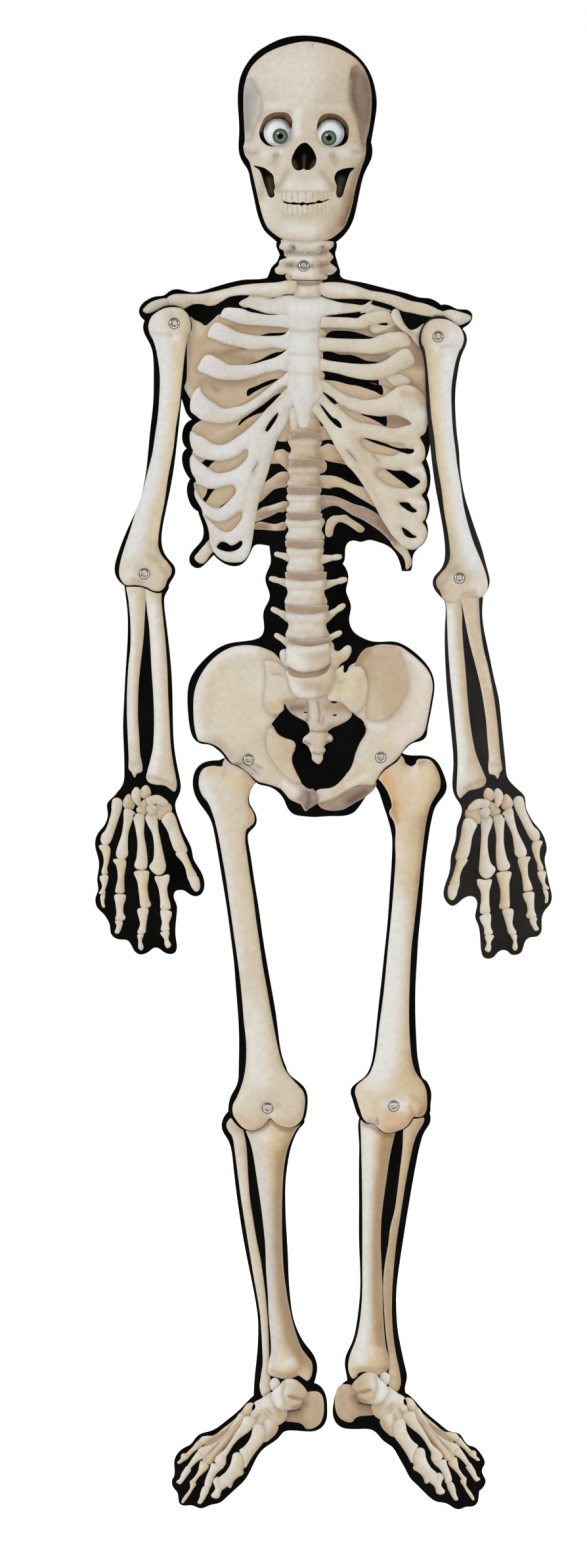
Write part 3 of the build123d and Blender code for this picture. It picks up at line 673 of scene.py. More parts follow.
# ---------------------------------------------------------------- arms and hands, as on the left
HUMERUS = bone(
    [(-150, 1372), (-140, 1370), (-133, 1363), (-130, 1353), (-130.5, 1344), (-134, 1336),
     (-137, 1318), (-139, 1300), (-141, 1280), (-143, 1260), (-147, 1235), (-150, 1210),
     (-156, 1178), (-160, 1150), (-164, 1130), (-167, 1110), (-167, 1098), (-163, 1088),
     (-157, 1081), (-152, 1073), (-153, 1066), (-157, 1060), (-160, 1052), (-166, 1047.5),
     (-174, 1048.5), (-182, 1052.5), (-193, 1054.5), (-204, 1054.5), (-210, 1061), (-212, 1070),
     (-210, 1083), (-206, 1097), (-200, 1115), (-193, 1138), (-185, 1162), (-179, 1185),
     (-174, 1205), (-171, 1225), (-168, 1245), (-166, 1270), (-165.5, 1295), (-169, 1320),
     (-173, 1334), (-177, 1342), (-178.5, 1351), (-174, 1362), (-162, 1370)],
    "cream", side=1, dome=0.8,
    dabs=[((224, 223, 221), 0.95, 11, [(-166, 1350), (-160, 1310), (-160, 1270), (-163, 1230),
                                       (-174, 1180), (-186, 1140), (-198, 1095)]),
          ((226, 211, 176), 0.6, 7, [(-143, 1330), (-145, 1290), (-151, 1230), (-160, 1170),
                                     (-170, 1110)]),
          ((212, 190, 150), 0.5, 5, [(-138, 1330), (-141, 1290), (-149, 1225), (-160, 1160)]),
          ((216, 198, 164), 0.6, 12, [(-150, 1352)]), (GLOW, 0.7, 5, [(-148, 1337)]),
          (SHADOW, 0.25, 2, [(-172, 1342), (-160, 1341), (-152, 1339)]),
          ((206, 188, 160), 0.5, 12, [(-180, 1072), (-176, 1060)]), (GLOW, 0.6, 7, [(-200, 1066)]),
          (SHADOW, 0.4, 3, [(-196, 1061), (-184, 1058)]),
          (SHADOW, 0.4, 2.5, [(-165, 1075), (-158, 1068)]),
          (SHADOW, 0.35, 4, [(-168, 1082), (-178, 1088)])],
)
ULNA_EDGE = [
    (-203, 1060), (-201, 1035), (-199, 1010), (-199, 985), (-201.5, 960), (-203, 930), (-203, 905),
    (-202, 880), (-201, 858), (-201, 845), (-198, 841), (-194.5, 834.5), (-191.5, 839),
    (-186, 841.5), (-185.5, 849), (-188, 862), (-189, 880), (-190.5, 905), (-190, 935), (-188, 960),
    (-184.5, 990), (-183, 1012), (-181.5, 1040), (-180, 1060),
]
ULNA = bone(
    ULNA_EDGE, "cream", side=1,
    dabs=[((206, 186, 156), 0.55, 5, [(-185, 1040), (-186, 1000), (-191, 950)]),
          (GLOW, 0.6, 4, [(-198, 1040), (-196, 1000), (-199, 940), (-199, 880)]),
          (SHADOW, 0.3, 3, [(-200, 850), (-188, 852)])],
)
OTHER_ULNA = bone(
    ULNA_EDGE, "cream", side=-1,
    dabs=[((206, 178, 142), 0.65, 7, [(-186, 1040), (-190, 990), (-196, 930), (-195, 880)]),
          (GLOW, 0.4, 4, [(-200, 1000), (-201, 940)]),
          (SHADOW, 0.3, 3, [(-200, 850), (-188, 852)])],
)
RADIUS_EDGE = [
    (-181, 1056), (-180.5, 1030), (-178, 1010), (-176.5, 990), (-175, 960), (-173, 930),
    (-172, 900), (-173, 872), (-176, 856), (-179.5, 843), (-181, 835), (-178, 829), (-170, 826.5),
    (-160, 825.5), (-153, 821), (-148.5, 818.5), (-146, 826), (-147.5, 837), (-150.5, 853),
    (-153, 872), (-154.5, 900), (-156, 930), (-157, 960), (-159, 990), (-161.5, 1015),
    (-163.5, 1035), (-165, 1056),
]
RADIUS = bone(
    RADIUS_EDGE, "cream", side=1,
    dabs=[(GLOW, 0.75, 6, [(-174, 1030), (-170, 980), (-168, 930), (-168, 880), (-172, 845)]),
          ((214, 196, 164), 0.5, 5, [(-160, 960), (-158, 900), (-155, 860)]),
          (SHADOW, 0.45, 2, [(-179, 836), (-165, 833), (-156, 829)]),
          (SHADOW, 0.3, 3, [(-152, 826)])],
)
OTHER_RADIUS = bone(
    RADIUS_EDGE, "cream", side=-1,
    dabs=[(GLOW, 0.9, 6, [(-166, 1030), (-161, 985), (-159, 930), (-157, 880), (-153, 845)]),
          ((204, 178, 144), 0.75, 5, [(-179, 1030), (-175, 980), (-172, 930), (-171, 880),
                                      (-175, 850)]),
          (SHADOW, 0.45, 2, [(-179, 836), (-165, 833), (-156, 829)])],
)
CARPALS = [
    [(-201, 816), (-196, 811), (-194, 803), (-197, 798), (-204, 798.5), (-208, 804), (-206, 811)],
    [(-192, 824), (-188, 820), (-187.5, 812), (-187, 805), (-190, 802), (-195, 807), (-198, 815),
     (-196, 821)],
    [(-181, 826), (-177, 822.5), (-175.5, 816), (-179, 811), (-185, 811), (-189, 816), (-186, 823)],
    [(-181, 810.5), (-172, 814.5), (-164, 813.5), (-156, 807), (-157, 803), (-163, 802.5),
     (-170, 804), (-178, 803)],
    [(-190, 802), (-185, 808.5), (-179.5, 810), (-177.5, 803), (-179, 796), (-184, 791),
     (-190, 793.5), (-192.5, 798)],
    [(-180, 802), (-174, 803.5), (-168, 801), (-169, 795), (-175, 792), (-180, 796)],
    [(-169, 803.5), (-160, 804.5), (-153.5, 804.5), (-151.5, 797), (-155, 791), (-162, 787),
     (-167, 787), (-169.5, 795)],
]
FINGERS = [
    # little finger, from the palm to the tip
    [(-219, 810), (-213, 811.5), (-208.5, 807), (-209.5, 797), (-213, 786), (-217, 774),
     (-220, 765), (-223.5, 759), (-229, 757), (-233, 762), (-232, 769), (-227.5, 775), (-224, 784),
     (-221, 795), (-220.5, 804)],
    [(-235, 756.5), (-226, 758), (-222, 753), (-223, 742), (-225.5, 731), (-225, 725), (-230, 723),
     (-232, 727), (-229.5, 738), (-231, 748)],
    [(-234, 721.5), (-225, 723), (-225, 716), (-228, 706), (-227.5, 702), (-235, 702),
     (-231.5, 710)],
    [(-233, 700), (-228, 701), (-229, 693), (-228, 686.5), (-231, 686.5), (-233, 693)],
    # ring finger
    [(-206, 798.5), (-198, 797.5), (-193.5, 793), (-197, 785), (-201.5, 770), (-202, 755),
     (-202, 746), (-207, 741), (-214, 743), (-215.5, 749), (-213, 758), (-209, 770), (-207, 783)],
    [(-219, 740.5), (-212, 742), (-205, 741), (-204, 735), (-206, 722), (-206, 710), (-206.5, 703),
     (-215.5, 703), (-216, 708), (-213.5, 720), (-215, 733)],
    [(-217, 700.5), (-205.5, 701), (-204.5, 696), (-207, 688), (-207, 680), (-204.5, 675),
     (-208, 671), (-216, 672), (-215, 680), (-216, 690)],
    [(-216.5, 671), (-208, 670), (-210, 661), (-212.5, 656.5), (-217, 657.5), (-215, 665)],
    # middle finger
    [(-195.5, 792), (-184, 792), (-183, 785), (-183.5, 770), (-181, 755), (-179.5, 740),
     (-181, 730.5), (-190, 729.5), (-194.5, 734), (-192, 744), (-191, 760), (-193, 775)],
    [(-194.5, 727), (-179, 728), (-178, 722), (-179.5, 710), (-178, 697), (-175.5, 689),
     (-180, 685.5), (-187, 687), (-189, 700), (-191, 715)],
    [(-191, 684), (-179, 685), (-179.5, 676), (-181, 666), (-182.5, 657), (-191, 657), (-188, 668)],
    [(-191, 655), (-184, 656), (-186, 648), (-184, 641), (-186.5, 637), (-190, 640), (-190, 648)],
    # index finger
    [(-182, 789), (-178, 794.5), (-169.5, 794), (-168, 787), (-167, 775), (-164, 760), (-161, 746),
     (-158.5, 733), (-161, 726), (-166.5, 723), (-173, 726), (-177.5, 733), (-173, 741),
     (-172, 755), (-174, 770), (-179, 780)],
    [(-171.5, 721), (-164, 722), (-155.5, 724), (-154.5, 718), (-157, 709), (-156, 699),
     (-153.5, 690), (-154, 684.5), (-164, 684), (-165, 695), (-167, 708)],
    [(-164.5, 683), (-153, 682), (-152, 677), (-155, 668), (-155, 660), (-164, 660), (-163, 669)],
    [(-165, 657.5), (-155, 659), (-155.5, 650), (-152.5, 643), (-157, 639.5), (-160, 644),
     (-160.5, 650)],
    # thumb
    [(-163.5, 786), (-158, 793.5), (-151, 794.5), (-147, 788), (-143, 775), (-138, 762),
     (-134, 752.5), (-136, 748), (-143, 747), (-149, 752), (-153, 762), (-156, 772), (-160.5, 780)],
    [(-147.5, 748), (-137, 750.5), (-132.5, 742), (-128, 732), (-123, 723), (-127, 720.5),
     (-134, 722), (-136, 730), (-140, 738)],
    [(-134, 722.5), (-123, 722), (-120, 716), (-119.5, 709), (-121.5, 705), (-125, 704.5),
     (-129, 709), (-131.5, 715)],
]
HAND_SHADE = [(SHADOW, 0.25, 12, [(-196, 800), (-172, 800)]),
              (GLOW, 0.35, 10, [(-160, 720), (-150, 650)])]


def small(points, tone="cream", **rules):
    """A small bone of a hand or foot, with a finer mesh."""
    return bone(points, tone, fill=1.7, dabs=HAND_SHADE, gain=1.06, **rules)


ARM_BONES = {  # name, level over the card, shapes
    "upper_arm": [("humerus", 0, [HUMERUS])],
    "forearm": [
        ("forearm_bones", 0, [ULNA, RADIUS]),
        ("wrist_bones", 1, [small(p, "warm") for p in CARPALS[::2]]),
        ("finger_bones", 2, [small(p, "warm" if k % 4 == 1 else "cream", dome=0.8)
                             for k, p in enumerate(FINGERS)]),
        ("inner_wrist_bones", 3, [small(p, "cream") for p in CARPALS[1::2]]),
    ],
}
turn_upper_arm = placer((149.5, 1353.5), (153.0, 1340.5), -1.06)
SLIM_FROM_X, SLIM_BY, SLIM_Z, SLIM_REACH = 168, 6.0, 1118, 46


def place_right_upper_arm(xz):
    """The right humerus is slimmer on its outer side, above the elbow."""
    placed = turn_upper_arm(xz)
    outer = placed[:, 0] > SLIM_FROM_X
    placed[outer, 0] -= SLIM_BY * np.exp(-((placed[outer, 1] - SLIM_Z) / SLIM_REACH) ** 2)
    return placed


RIGHT_PLACES = {
    "upper_arm": place_right_upper_arm,
    "forearm": placer((183.5, 1067.5), (177.5, 1062.5), 8.0),
}
for part, groups in ARM_BONES.items():
    for name, level, shapes in groups:
        printed("left_" + part, "left_" + name, level, *shapes)
        if name == "forearm_bones":
            shapes = [OTHER_ULNA, OTHER_RADIUS]
        printed("right_" + part, "right_" + name, level,
                *(s.moved(RIGHT_PLACES[part]) for s in shapes))

# ---------------------------------------------------------------- thighs
printed(
    "left_thigh", "left_femur", 0,
    bone([(-56, 850), (-56, 831), (-61, 823), (-64.5, 812), (-64, 803), (-60, 797), (-57.5, 790),
          (-58, 783), (-62.5, 778.5), (-67, 774), (-68, 762), (-66, 747), (-62.5, 722), (-59, 700),
          (-55.5, 672), (-51.5, 645), (-48, 620), (-44, 598), (-39.5, 572), (-35, 548), (-31, 528),
          (-27, 512), (-21.5, 499), (-14, 489.5), (-6.5, 481.5), (-1.5, 475), (0.5, 466),
          (-0.5, 454), (-2.6, 445), (-7, 438.8), (-12.4, 435.2), (-19, 434), (-27, 436), (-34, 440),
          (-39.5, 444.8), (-44, 439.6), (-50, 434.5), (-58, 431), (-65, 431.4), (-71, 434.6),
          (-77, 441), (-82, 450), (-82, 460), (-77.5, 469), (-73, 480), (-69.5, 492), (-67, 510),
          (-67, 532), (-69.5, 556), (-71.5, 581), (-74, 605), (-77.5, 632), (-80.5, 652),
          (-84, 677), (-87.5, 702), (-90.5, 722), (-94, 742), (-98, 764), (-102.5, 784),
          (-107, 798), (-111, 806.5), (-117.5, 815), (-121, 826), (-120, 838), (-114.5, 845.5),
          (-105, 848), (-95, 847.5), (-93, 853), (-88, 860), (-75, 866), (-60, 864)],
         "cream", side=0.8, dome=0.7,
         dabs=[((222, 220, 216), 0.9, 7,
                [(-116, 828), (-104, 800), (-95, 765), (-88, 720), (-81, 670), (-75, 620)]),
               ((214, 200, 172), 0.5, 14, [(-86, 800), (-78, 740), (-70, 680), (-62, 630)]),
               ((226, 222, 214), 0.7, 12, [(-58, 560), (-56, 520), (-52, 490)]),
               (SHADOW, 0.4, 3, [(-93, 838), (-92, 846)]),
               ((214, 186, 150), 0.7, 5, [(-100, 843), (-108, 843)]),
               ((218, 186, 144), 0.6, 9, [(-86, 834), (-72, 826)]),
               ((194, 160, 120), 0.65, 4, [(-64, 812), (-60, 796), (-64, 778), (-68, 752)]),
               (SHADOW, 0.3, 4, [(-62, 812), (-68, 836)]),
               ((206, 184, 148), 0.6, 7, [(-66, 834), (-58, 830)]),
               (SHADOW, 0.3, 3, [(-42, 452), (-30, 460)]),
               ((208, 178, 144), 0.65, 5, [(-77, 449), (-66, 437), (-52, 438)]),
               ((202, 172, 136), 0.6, 4.5, [(-32, 442), (-18, 438), (-6, 443)]),
               ((206, 192, 166), 0.5, 10, [(-18, 460), (-14, 476)])]),
)
printed(
    "right_thigh", "right_femur", 0,
    bone([(100, 866), (112, 858.5), (115.5, 851), (122, 847.5), (127, 850.5), (129, 855),
          (137, 856), (144.5, 854), (151, 845), (155, 833), (154.5, 822), (149.5, 813), (144, 803),
          (140, 789), (137, 770), (134, 745), (131, 716), (128, 690), (125, 664), (122, 638),
          (120.5, 610), (119.5, 580), (119.5, 552), (121, 526), (123.5, 508), (128, 496),
          (134, 488), (138.5, 479), (140, 468), (139.5, 456), (136.5, 449), (131, 446.5),
          (124.5, 446.5), (120.5, 440.5), (115, 434.5), (107, 430.8), (98, 428.2), (90.6, 429.2),
          (84.6, 433.6), (79.3, 438.1), (73.5, 439.3), (70.5, 440.8), (66.3, 446), (63.1, 455.2),
          (60.1, 465), (57.6, 475), (60, 483), (67, 489), (74, 496), (79, 508), (82.5, 526),
          (85, 548), (88, 570), (90.5, 590), (93, 615), (95.5, 642), (98, 666), (100.5, 692),
          (102.5, 718), (104, 742), (103.5, 760), (104, 774), (102, 784), (97.5, 791.5),
          (97, 796.5), (99.5, 801), (98.5, 809), (94, 820), (88, 829), (82, 836), (78, 848),
          (86, 862)],
         "warm", side=1, dome=0.7,
         dabs=[((224, 222, 218), 0.95, 10,
                [(97, 700), (99, 660), (96, 620), (94, 570), (88, 520), (78, 495)]),
               ((226, 224, 220), 0.8, 13,
                [(106, 690), (106, 640), (103, 590), (100, 540), (92, 500)]),
               ((232, 228, 220), 0.6, 4, [(124, 838), (128, 848)]),
               ((212, 168, 120), 0.85, 11, [(92, 834), (98, 815), (104, 796)]),
               (SHADOW, 0.5, 3, [(103, 806), (101, 796), (106, 784)]),
               ((226, 208, 176), 0.5, 10, [(136, 836), (130, 808)]),
               ((170, 134, 98), 0.7, 3.5, [(136, 853), (131, 850)]),
               ((216, 196, 160), 0.5, 9, [(128, 640), (124, 590), (120, 530)]),
               ((208, 182, 150), 0.6, 8, [(112, 440), (102, 443), (92, 438)]),
               ((224, 221, 216), 0.75, 7, [(92, 461), (104, 463), (113, 460)]),
               ((182, 146, 108), 0.65, 2.6, [(120.5, 458), (123, 452), (122.5, 446)]),
               ((190, 156, 120), 0.6, 3.5, [(94, 432), (106, 434), (116, 438), (121, 444)]),
               ((150, 112, 78), 0.7, 2.2, [(74, 441.5), (80, 442.5)]),
               (GLOW, 0.4, 9, [(74, 478), (92, 482)]),
               ((150, 112, 80), 0.7, 3.5, [(132, 450), (136, 456)]),
               (SHADOW, 0.3, 3, [(124, 470), (132, 462)])]),
    bone([(73, 441.5), (78, 444), (82, 447.5), (84, 444), (85, 437.5), (79, 439.5)], "tan",
         dome=0.3),
)

# ---------------------------------------------------------------- shins
printed(
    "left_shin", "left_fibula", 0,
    bone([(-80, 446), (-86, 444), (-89.5, 437), (-87, 430), (-82.5, 423), (-80, 408), (-77, 385),
          (-73.5, 358), (-70, 335), (-66, 311), (-62, 286), (-58, 262), (-54, 240), (-51, 220),
          (-49.5, 200), (-48.5, 182), (-48, 165), (-50, 150), (-51.5, 139), (-50, 130.5),
          (-47, 125.5), (-43.5, 129), (-39.5, 132), (-38.5, 140), (-40, 155), (-41, 185),
          (-42, 210), (-44, 235), (-46.5, 257), (-50, 281), (-55, 306), (-59, 330), (-62.5, 352),
          (-64.5, 376), (-65.5, 396), (-67, 415), (-70, 430), (-74, 440)],
         "cream", side=1, dabs=[((206, 192, 160), 0.5, 4, [(-66, 330), (-56, 280), (-46, 220)]),
                                (SHADOW, 0.35, 4, [(-86, 438), (-74, 430)])]),
)
printed(
    "left_shin", "left_tibia", 1,
    bone([(-42, 462), (-68, 440), (-67, 430), (-62.5, 418), (-59, 404), (-56, 385), (-53, 365),
          (-50, 345), (-47, 320), (-45, 298), (-44, 270), (-42, 242), (-41, 218), (-39, 195),
          (-38.5, 178), (-40.5, 168), (-42, 158), (-40, 151.5), (-33, 148.5), (-22, 146.5),
          (-14, 147.5), (-7, 150.5), (-2, 147.5), (3, 144.5), (7, 148.5), (9, 157), (8, 166),
          (3, 173), (-3, 181), (-8, 193), (-13, 209), (-17.5, 228), (-21, 248), (-24, 272),
          (-25.5, 300), (-26, 330), (-25.5, 360), (-24, 385), (-21, 404), (-16.5, 418), (-10, 431),
          (-4, 441), (-14, 454)],
         "warm", side=1,
         dabs=[((206, 203, 198), 0.85, 7,
                [(-56, 425), (-50, 390), (-42, 330), (-38, 270), (-36, 200), (-34, 165)]),
               ((160, 135, 104), 0.85, 8,
                [(-27, 400), (-30, 340), (-30, 290), (-26, 240), (-17, 190), (-2, 165)]),
               ((150, 126, 98), 0.5, 5, [(-22, 250), (-14, 205), (-4, 170)]),
               (SHADOW, 0.35, 5, [(-58, 434), (-44, 438)]), (GLOW, 0.5, 8, [(-44, 424)]),
               ((122, 92, 64), 0.7, 2.6,
                [(-62, 429), (-52, 431), (-44, 436.5), (-39.5, 442), (-34, 437.5), (-27, 433),
                 (-19, 431), (-10, 432.5)]),
               (SHADOW, 0.4, 2.4, [(-38, 157), (-28, 152), (-16, 152), (-6, 158)]),
               (GLOW, 0.5, 5, [(-24, 162), (-14, 166)]),
               (SHADOW, 0.25, 5, [(-14, 430), (-22, 438)])]),
)
printed(
    "right_shin", "right_fibula", 0,
    bone([(124, 452), (118, 444), (113, 432), (112, 411), (109, 386), (106, 361), (103, 340),
          (98, 320), (95.5, 300), (92, 280), (90, 260), (90, 240), (92.5, 203), (95, 183),
          (97, 168), (96, 150), (97, 137), (104, 132), (108.5, 136), (110, 145), (108, 159),
          (105, 173), (102, 191), (100, 216), (100, 245), (102, 275), (105, 304), (109, 330),
          (113, 356), (117, 380), (121, 400), (124, 414), (128.5, 427), (135, 438), (136, 446)],
         "warm", side=1, gain=0.68, dabs=[(SHADOW, 0.45, 4,
                                           [(108, 400), (104, 345), (96, 290), (94, 240),
                                            (98, 180)])]),
)
printed(
    "right_shin", "right_tibia", 1,
    bone([(100, 466), (78, 456), (65, 446), (64.5, 420), (65.5, 380), (66, 330), (66, 285),
          (66, 252), (65, 230), (62, 206), (58, 190), (52.5, 176), (50, 165), (50.5, 155),
          (54.5, 147.5), (59, 149), (62, 153.5), (69, 155), (76, 152.5), (84, 151), (92, 153),
          (97, 163), (96, 173), (93, 184), (91, 202), (89.5, 226), (89, 250), (88, 275), (87, 300),
          (87.5, 326), (90, 350), (93.5, 375), (97, 399), (101, 418), (106, 434), (118, 448)],
         "warm", side=1, dome=0.8,
         dabs=[((222, 220, 217), 0.95, 8,
                [(72, 440), (72, 380), (71, 320), (70, 260), (70, 210), (62, 170)]),
               ((162, 135, 100), 0.85, 7.5,
                [(93, 425), (85, 360), (82, 300), (82, 240), (86, 190)]),
               (SHADOW, 0.4, 2.4, [(56, 157), (66, 160), (80, 157), (92, 160)]),
               ((224, 216, 200), 0.5, 8, [(74, 178)]), (SHADOW, 0.3, 7, [(88, 436), (100, 430)]),
               ((130, 98, 68), 0.65, 2.6,
                [(68, 438), (78, 434.5), (84, 430), (90, 426), (100, 425)])]),
)

# ---------------------------------------------------------------- feet, as on the left
FOOT = [  # name, level over the card, shapes
    ("heel", 2, [bone(
        [(2, 131), (9, 132.5), (16, 131.5), (20.5, 126), (22, 115), (21, 104), (17, 95), (9, 90),
         (2, 89.5), (-2, 94), (-7, 96.5), (-15, 97.5), (-23, 99), (-26, 105), (-22, 112),
         (-12, 118), (-5, 126)],
        "tan", side=-0.6, gain=0.9, fill=1.8,
        dabs=[((128, 104, 82), 0.7, 6, [(-22, 106), (-8, 108), (0, 118)]),
              ((74, 56, 44), 0.85, 1.8, [(-24, 108.5), (-14, 110.5), (-6, 112)]),
              ((180, 160, 134), 0.75, 5, [(14, 122), (15, 104)])])]),
    ("foot_hollows", 2, [bone(
        [(-62, 117), (-80, 101), (-98, 86), (-109, 79), (-116, 69), (-116, 58), (-103, 52),
         (-96, 62), (-84, 76), (-70, 90), (-58, 102)],
        "tan", dome=0.3, gain=0.8, rim=0)]),
    ("midfoot", 3, [
        bone([(-58, 119), (-50, 124), (-44, 128), (-38, 131.5), (-30, 130), (-24, 120), (-20, 110),
              (-21, 102), (-25, 96.5), (-31, 94), (-38, 98), (-49, 101), (-60, 108)],
             "cream", dabs=[((170, 142, 108), 0.6, 3, [(-52, 106), (-44, 103)]),
                            ((186, 160, 126), 0.7, 5, [(-26, 102), (-30, 110)]),
                            (GLOW, 0.5, 6, [(-46, 120), (-38, 124)]),
                            (SHADOW, 0.5, 2, [(-38, 106), (-44, 112)])]),
        bone([(-40, 141), (-38, 146), (-34, 148), (-30, 146), (-28, 141), (-31, 135), (-37, 133)],
             "white"),
        bone([(-60, 110), (-52, 112), (-44, 108), (-40, 102), (-33, 100), (-30, 92), (-33, 84),
              (-39, 78), (-44, 74.5), (-50, 75), (-55, 84), (-58, 92), (-62, 98)],
             "cream", dabs=[((178, 150, 116), 0.7, 4, [(-34, 90), (-40, 80)]),
                            (SHADOW, 0.6, 2.2, [(-52, 106), (-58, 98)]),
                            (SHADOW, 0.5, 1.8, [(-46, 100), (-50, 88)]),
                            (GLOW, 0.5, 4, [(-42, 96), (-46, 82)])]),
    ]),
    ("outer_toes", 3, [
        small([(-66, 118), (-60, 119.5), (-56.5, 116.5), (-58, 111), (-66, 104), (-76, 98),
               (-90, 88.5), (-104, 80), (-112, 74), (-118, 70.5), (-122, 74), (-118, 80),
               (-112, 81.5), (-103, 82.5), (-92, 91), (-80, 100), (-72, 110)], "warm"),
        small([(-121, 76), (-117, 70), (-122, 66.5), (-128, 62), (-132, 58), (-136.5, 60),
               (-133, 64), (-128, 69), (-124, 74)], "warm"),
        small([(-137, 61.5), (-132, 58), (-135, 54.5), (-139, 52), (-143, 49.5), (-146, 51),
               (-142, 55), (-141, 60)], "warm"),
        small([(-70, 104), (-66, 99), (-76, 91), (-84, 80), (-94, 68), (-102, 58), (-106, 50),
               (-110, 49), (-116, 52.5), (-116, 57), (-108, 62), (-100, 71), (-90, 84), (-80, 97)],
              "warm"),
        small([(-118.5, 53), (-112, 51), (-109.5, 46.5), (-112.5, 42), (-117, 38), (-122, 33),
               (-126, 27), (-129, 25.5), (-131.5, 28.5), (-126.5, 34), (-122, 41), (-120.5, 48)],
              "warm"),
        small([(-131, 30), (-127, 29.5), (-124, 26), (-128, 20), (-133, 12), (-139, 4.5), (-141, 6),
               (-138, 12), (-134, 17), (-131, 22)], "warm"),
    ]),
    ("inner_toes", 4, [
        small([(-74, 108), (-70, 103), (-80, 93), (-92, 81), (-104, 68), (-112, 59), (-115, 55.5),
               (-121, 57.5), (-122.5, 64), (-118, 68.5), (-110, 70.5), (-100, 76), (-90, 85),
               (-82, 96)], "cream"),
        small([(-121, 64.5), (-116, 57), (-122, 52.5), (-127, 48), (-131, 44), (-134.5, 46),
               (-131, 52), (-127, 58)], "cream"),
        small([(-134.5, 47), (-130, 42.5), (-133, 37.5), (-137, 32), (-140.5, 27.5), (-143, 26),
               (-147, 29), (-143, 32.5), (-141, 38), (-138, 43)], "cream"),
        small([(-69, 103), (-62, 103.5), (-56, 100), (-57.6, 94), (-60.4, 90.2), (-63, 87),
               (-69, 82.4), (-74.4, 78.6), (-81, 71.6), (-86.4, 63), (-89.6, 57.4), (-89.8, 52),
               (-91, 48), (-94, 45.8), (-99, 47.6), (-102.4, 50.8), (-102.6, 55), (-98.8, 60),
               (-91.8, 66), (-85, 75), (-78, 86.4), (-72.4, 95)], "cream"),
        small([(-103.5, 50), (-96, 48), (-92.5, 46), (-96, 42.5), (-101, 38), (-105, 31),
               (-107.5, 23), (-112, 21.5), (-114.5, 27), (-112, 36), (-108.5, 44), (-107, 49.5)],
              "cream"),
        small([(-114.5, 24.5), (-109, 23), (-110, 17), (-112, 13.5), (-115, 8), (-119, 3.5),
               (-122.5, 5), (-120, 11), (-119, 17), (-117, 22)], "cream"),
        small([(-103.5, 32.5), (-100.5, 34.6), (-97, 33.8), (-94, 29), (-92.5, 24), (-93.5, 20.4),
               (-95.6, 17.5), (-96.6, 13), (-98.5, 10.4), (-102, 9.8), (-106, 11.2), (-106.9, 14.2),
               (-104.2, 17.6), (-102.4, 20.6), (-103.2, 24.6), (-105, 29)], "cream"),
        small([(-82.6, 59), (-80.8, 61.6), (-76.8, 62.9), (-72.4, 61), (-69.8, 56), (-68.6, 50),
               (-69.2, 45), (-70.4, 42.4), (-69.4, 39.4), (-71.5, 36.6), (-75.5, 34.6),
               (-79.4, 31.4), (-82, 27.6), (-83.4, 23.6), (-85.5, 21.6), (-89, 23.4), (-92.6, 20.6),
               (-95.8, 22.6), (-97, 28), (-97.6, 33.4), (-95.2, 36.1), (-90.8, 39.6), (-88.2, 43.1),
               (-85.6, 47.5), (-83.8, 52.8)], "cream"),
        small([(-57, 94.5), (-52, 95), (-47, 92.5), (-44.6, 88), (-44.4, 82), (-46, 76),
               (-49, 71.5), (-54, 65.5), (-59, 58.8), (-63.4, 52), (-67, 45.6), (-69.6, 46),
               (-71, 54), (-73, 61), (-74.6, 65.2), (-69.4, 69.2), (-64.8, 74.6), (-61.4, 81),
               (-60.2, 86), (-59.2, 90.8)],
              "cream", dome=0.8),
    ]),
    ("ankle", 5, [bone(
        [(-29, 139), (-25, 144), (-18, 147), (-10, 145.5), (-4, 141), (1, 135.5), (3, 130.5),
         (-1, 125.5), (-5, 124), (-3, 120), (-6, 114.5), (-12, 111.5), (-22, 111), (-29, 112),
         (-35, 118), (-38.5, 127), (-35, 134)],
        "cream", dome=0.8, dabs=[((196, 172, 138), 0.75, 5, [(-10, 136), (-14, 124), (-18, 116)]),
                                 ((112, 86, 60), 0.75, 2, [(-18, 127), (-12, 125), (-3, 123.5)]),
                                 ((120, 92, 66), 0.7, 2.2, [(-14, 113), (-5, 117)]),
                                 ((188, 164, 128), 0.7, 5, [(-4, 134), (-2, 128)]),
                                 (GLOW, 0.6, 5, [(-30, 134), (-30, 120)]),
                                 (SHADOW, 0.5, 2, [(-24, 142), (-26, 130), (-22, 118)])])]),
]
place_right_foot = placer((47, 125.5), (104, 132), -1.8)
for name, level, shapes in FOOT:
    printed("left_shin", "left_" + name, level, *shapes)
    printed("right_shin", "right_" + name, level, *(s.moved(place_right_foot) for s in shapes))

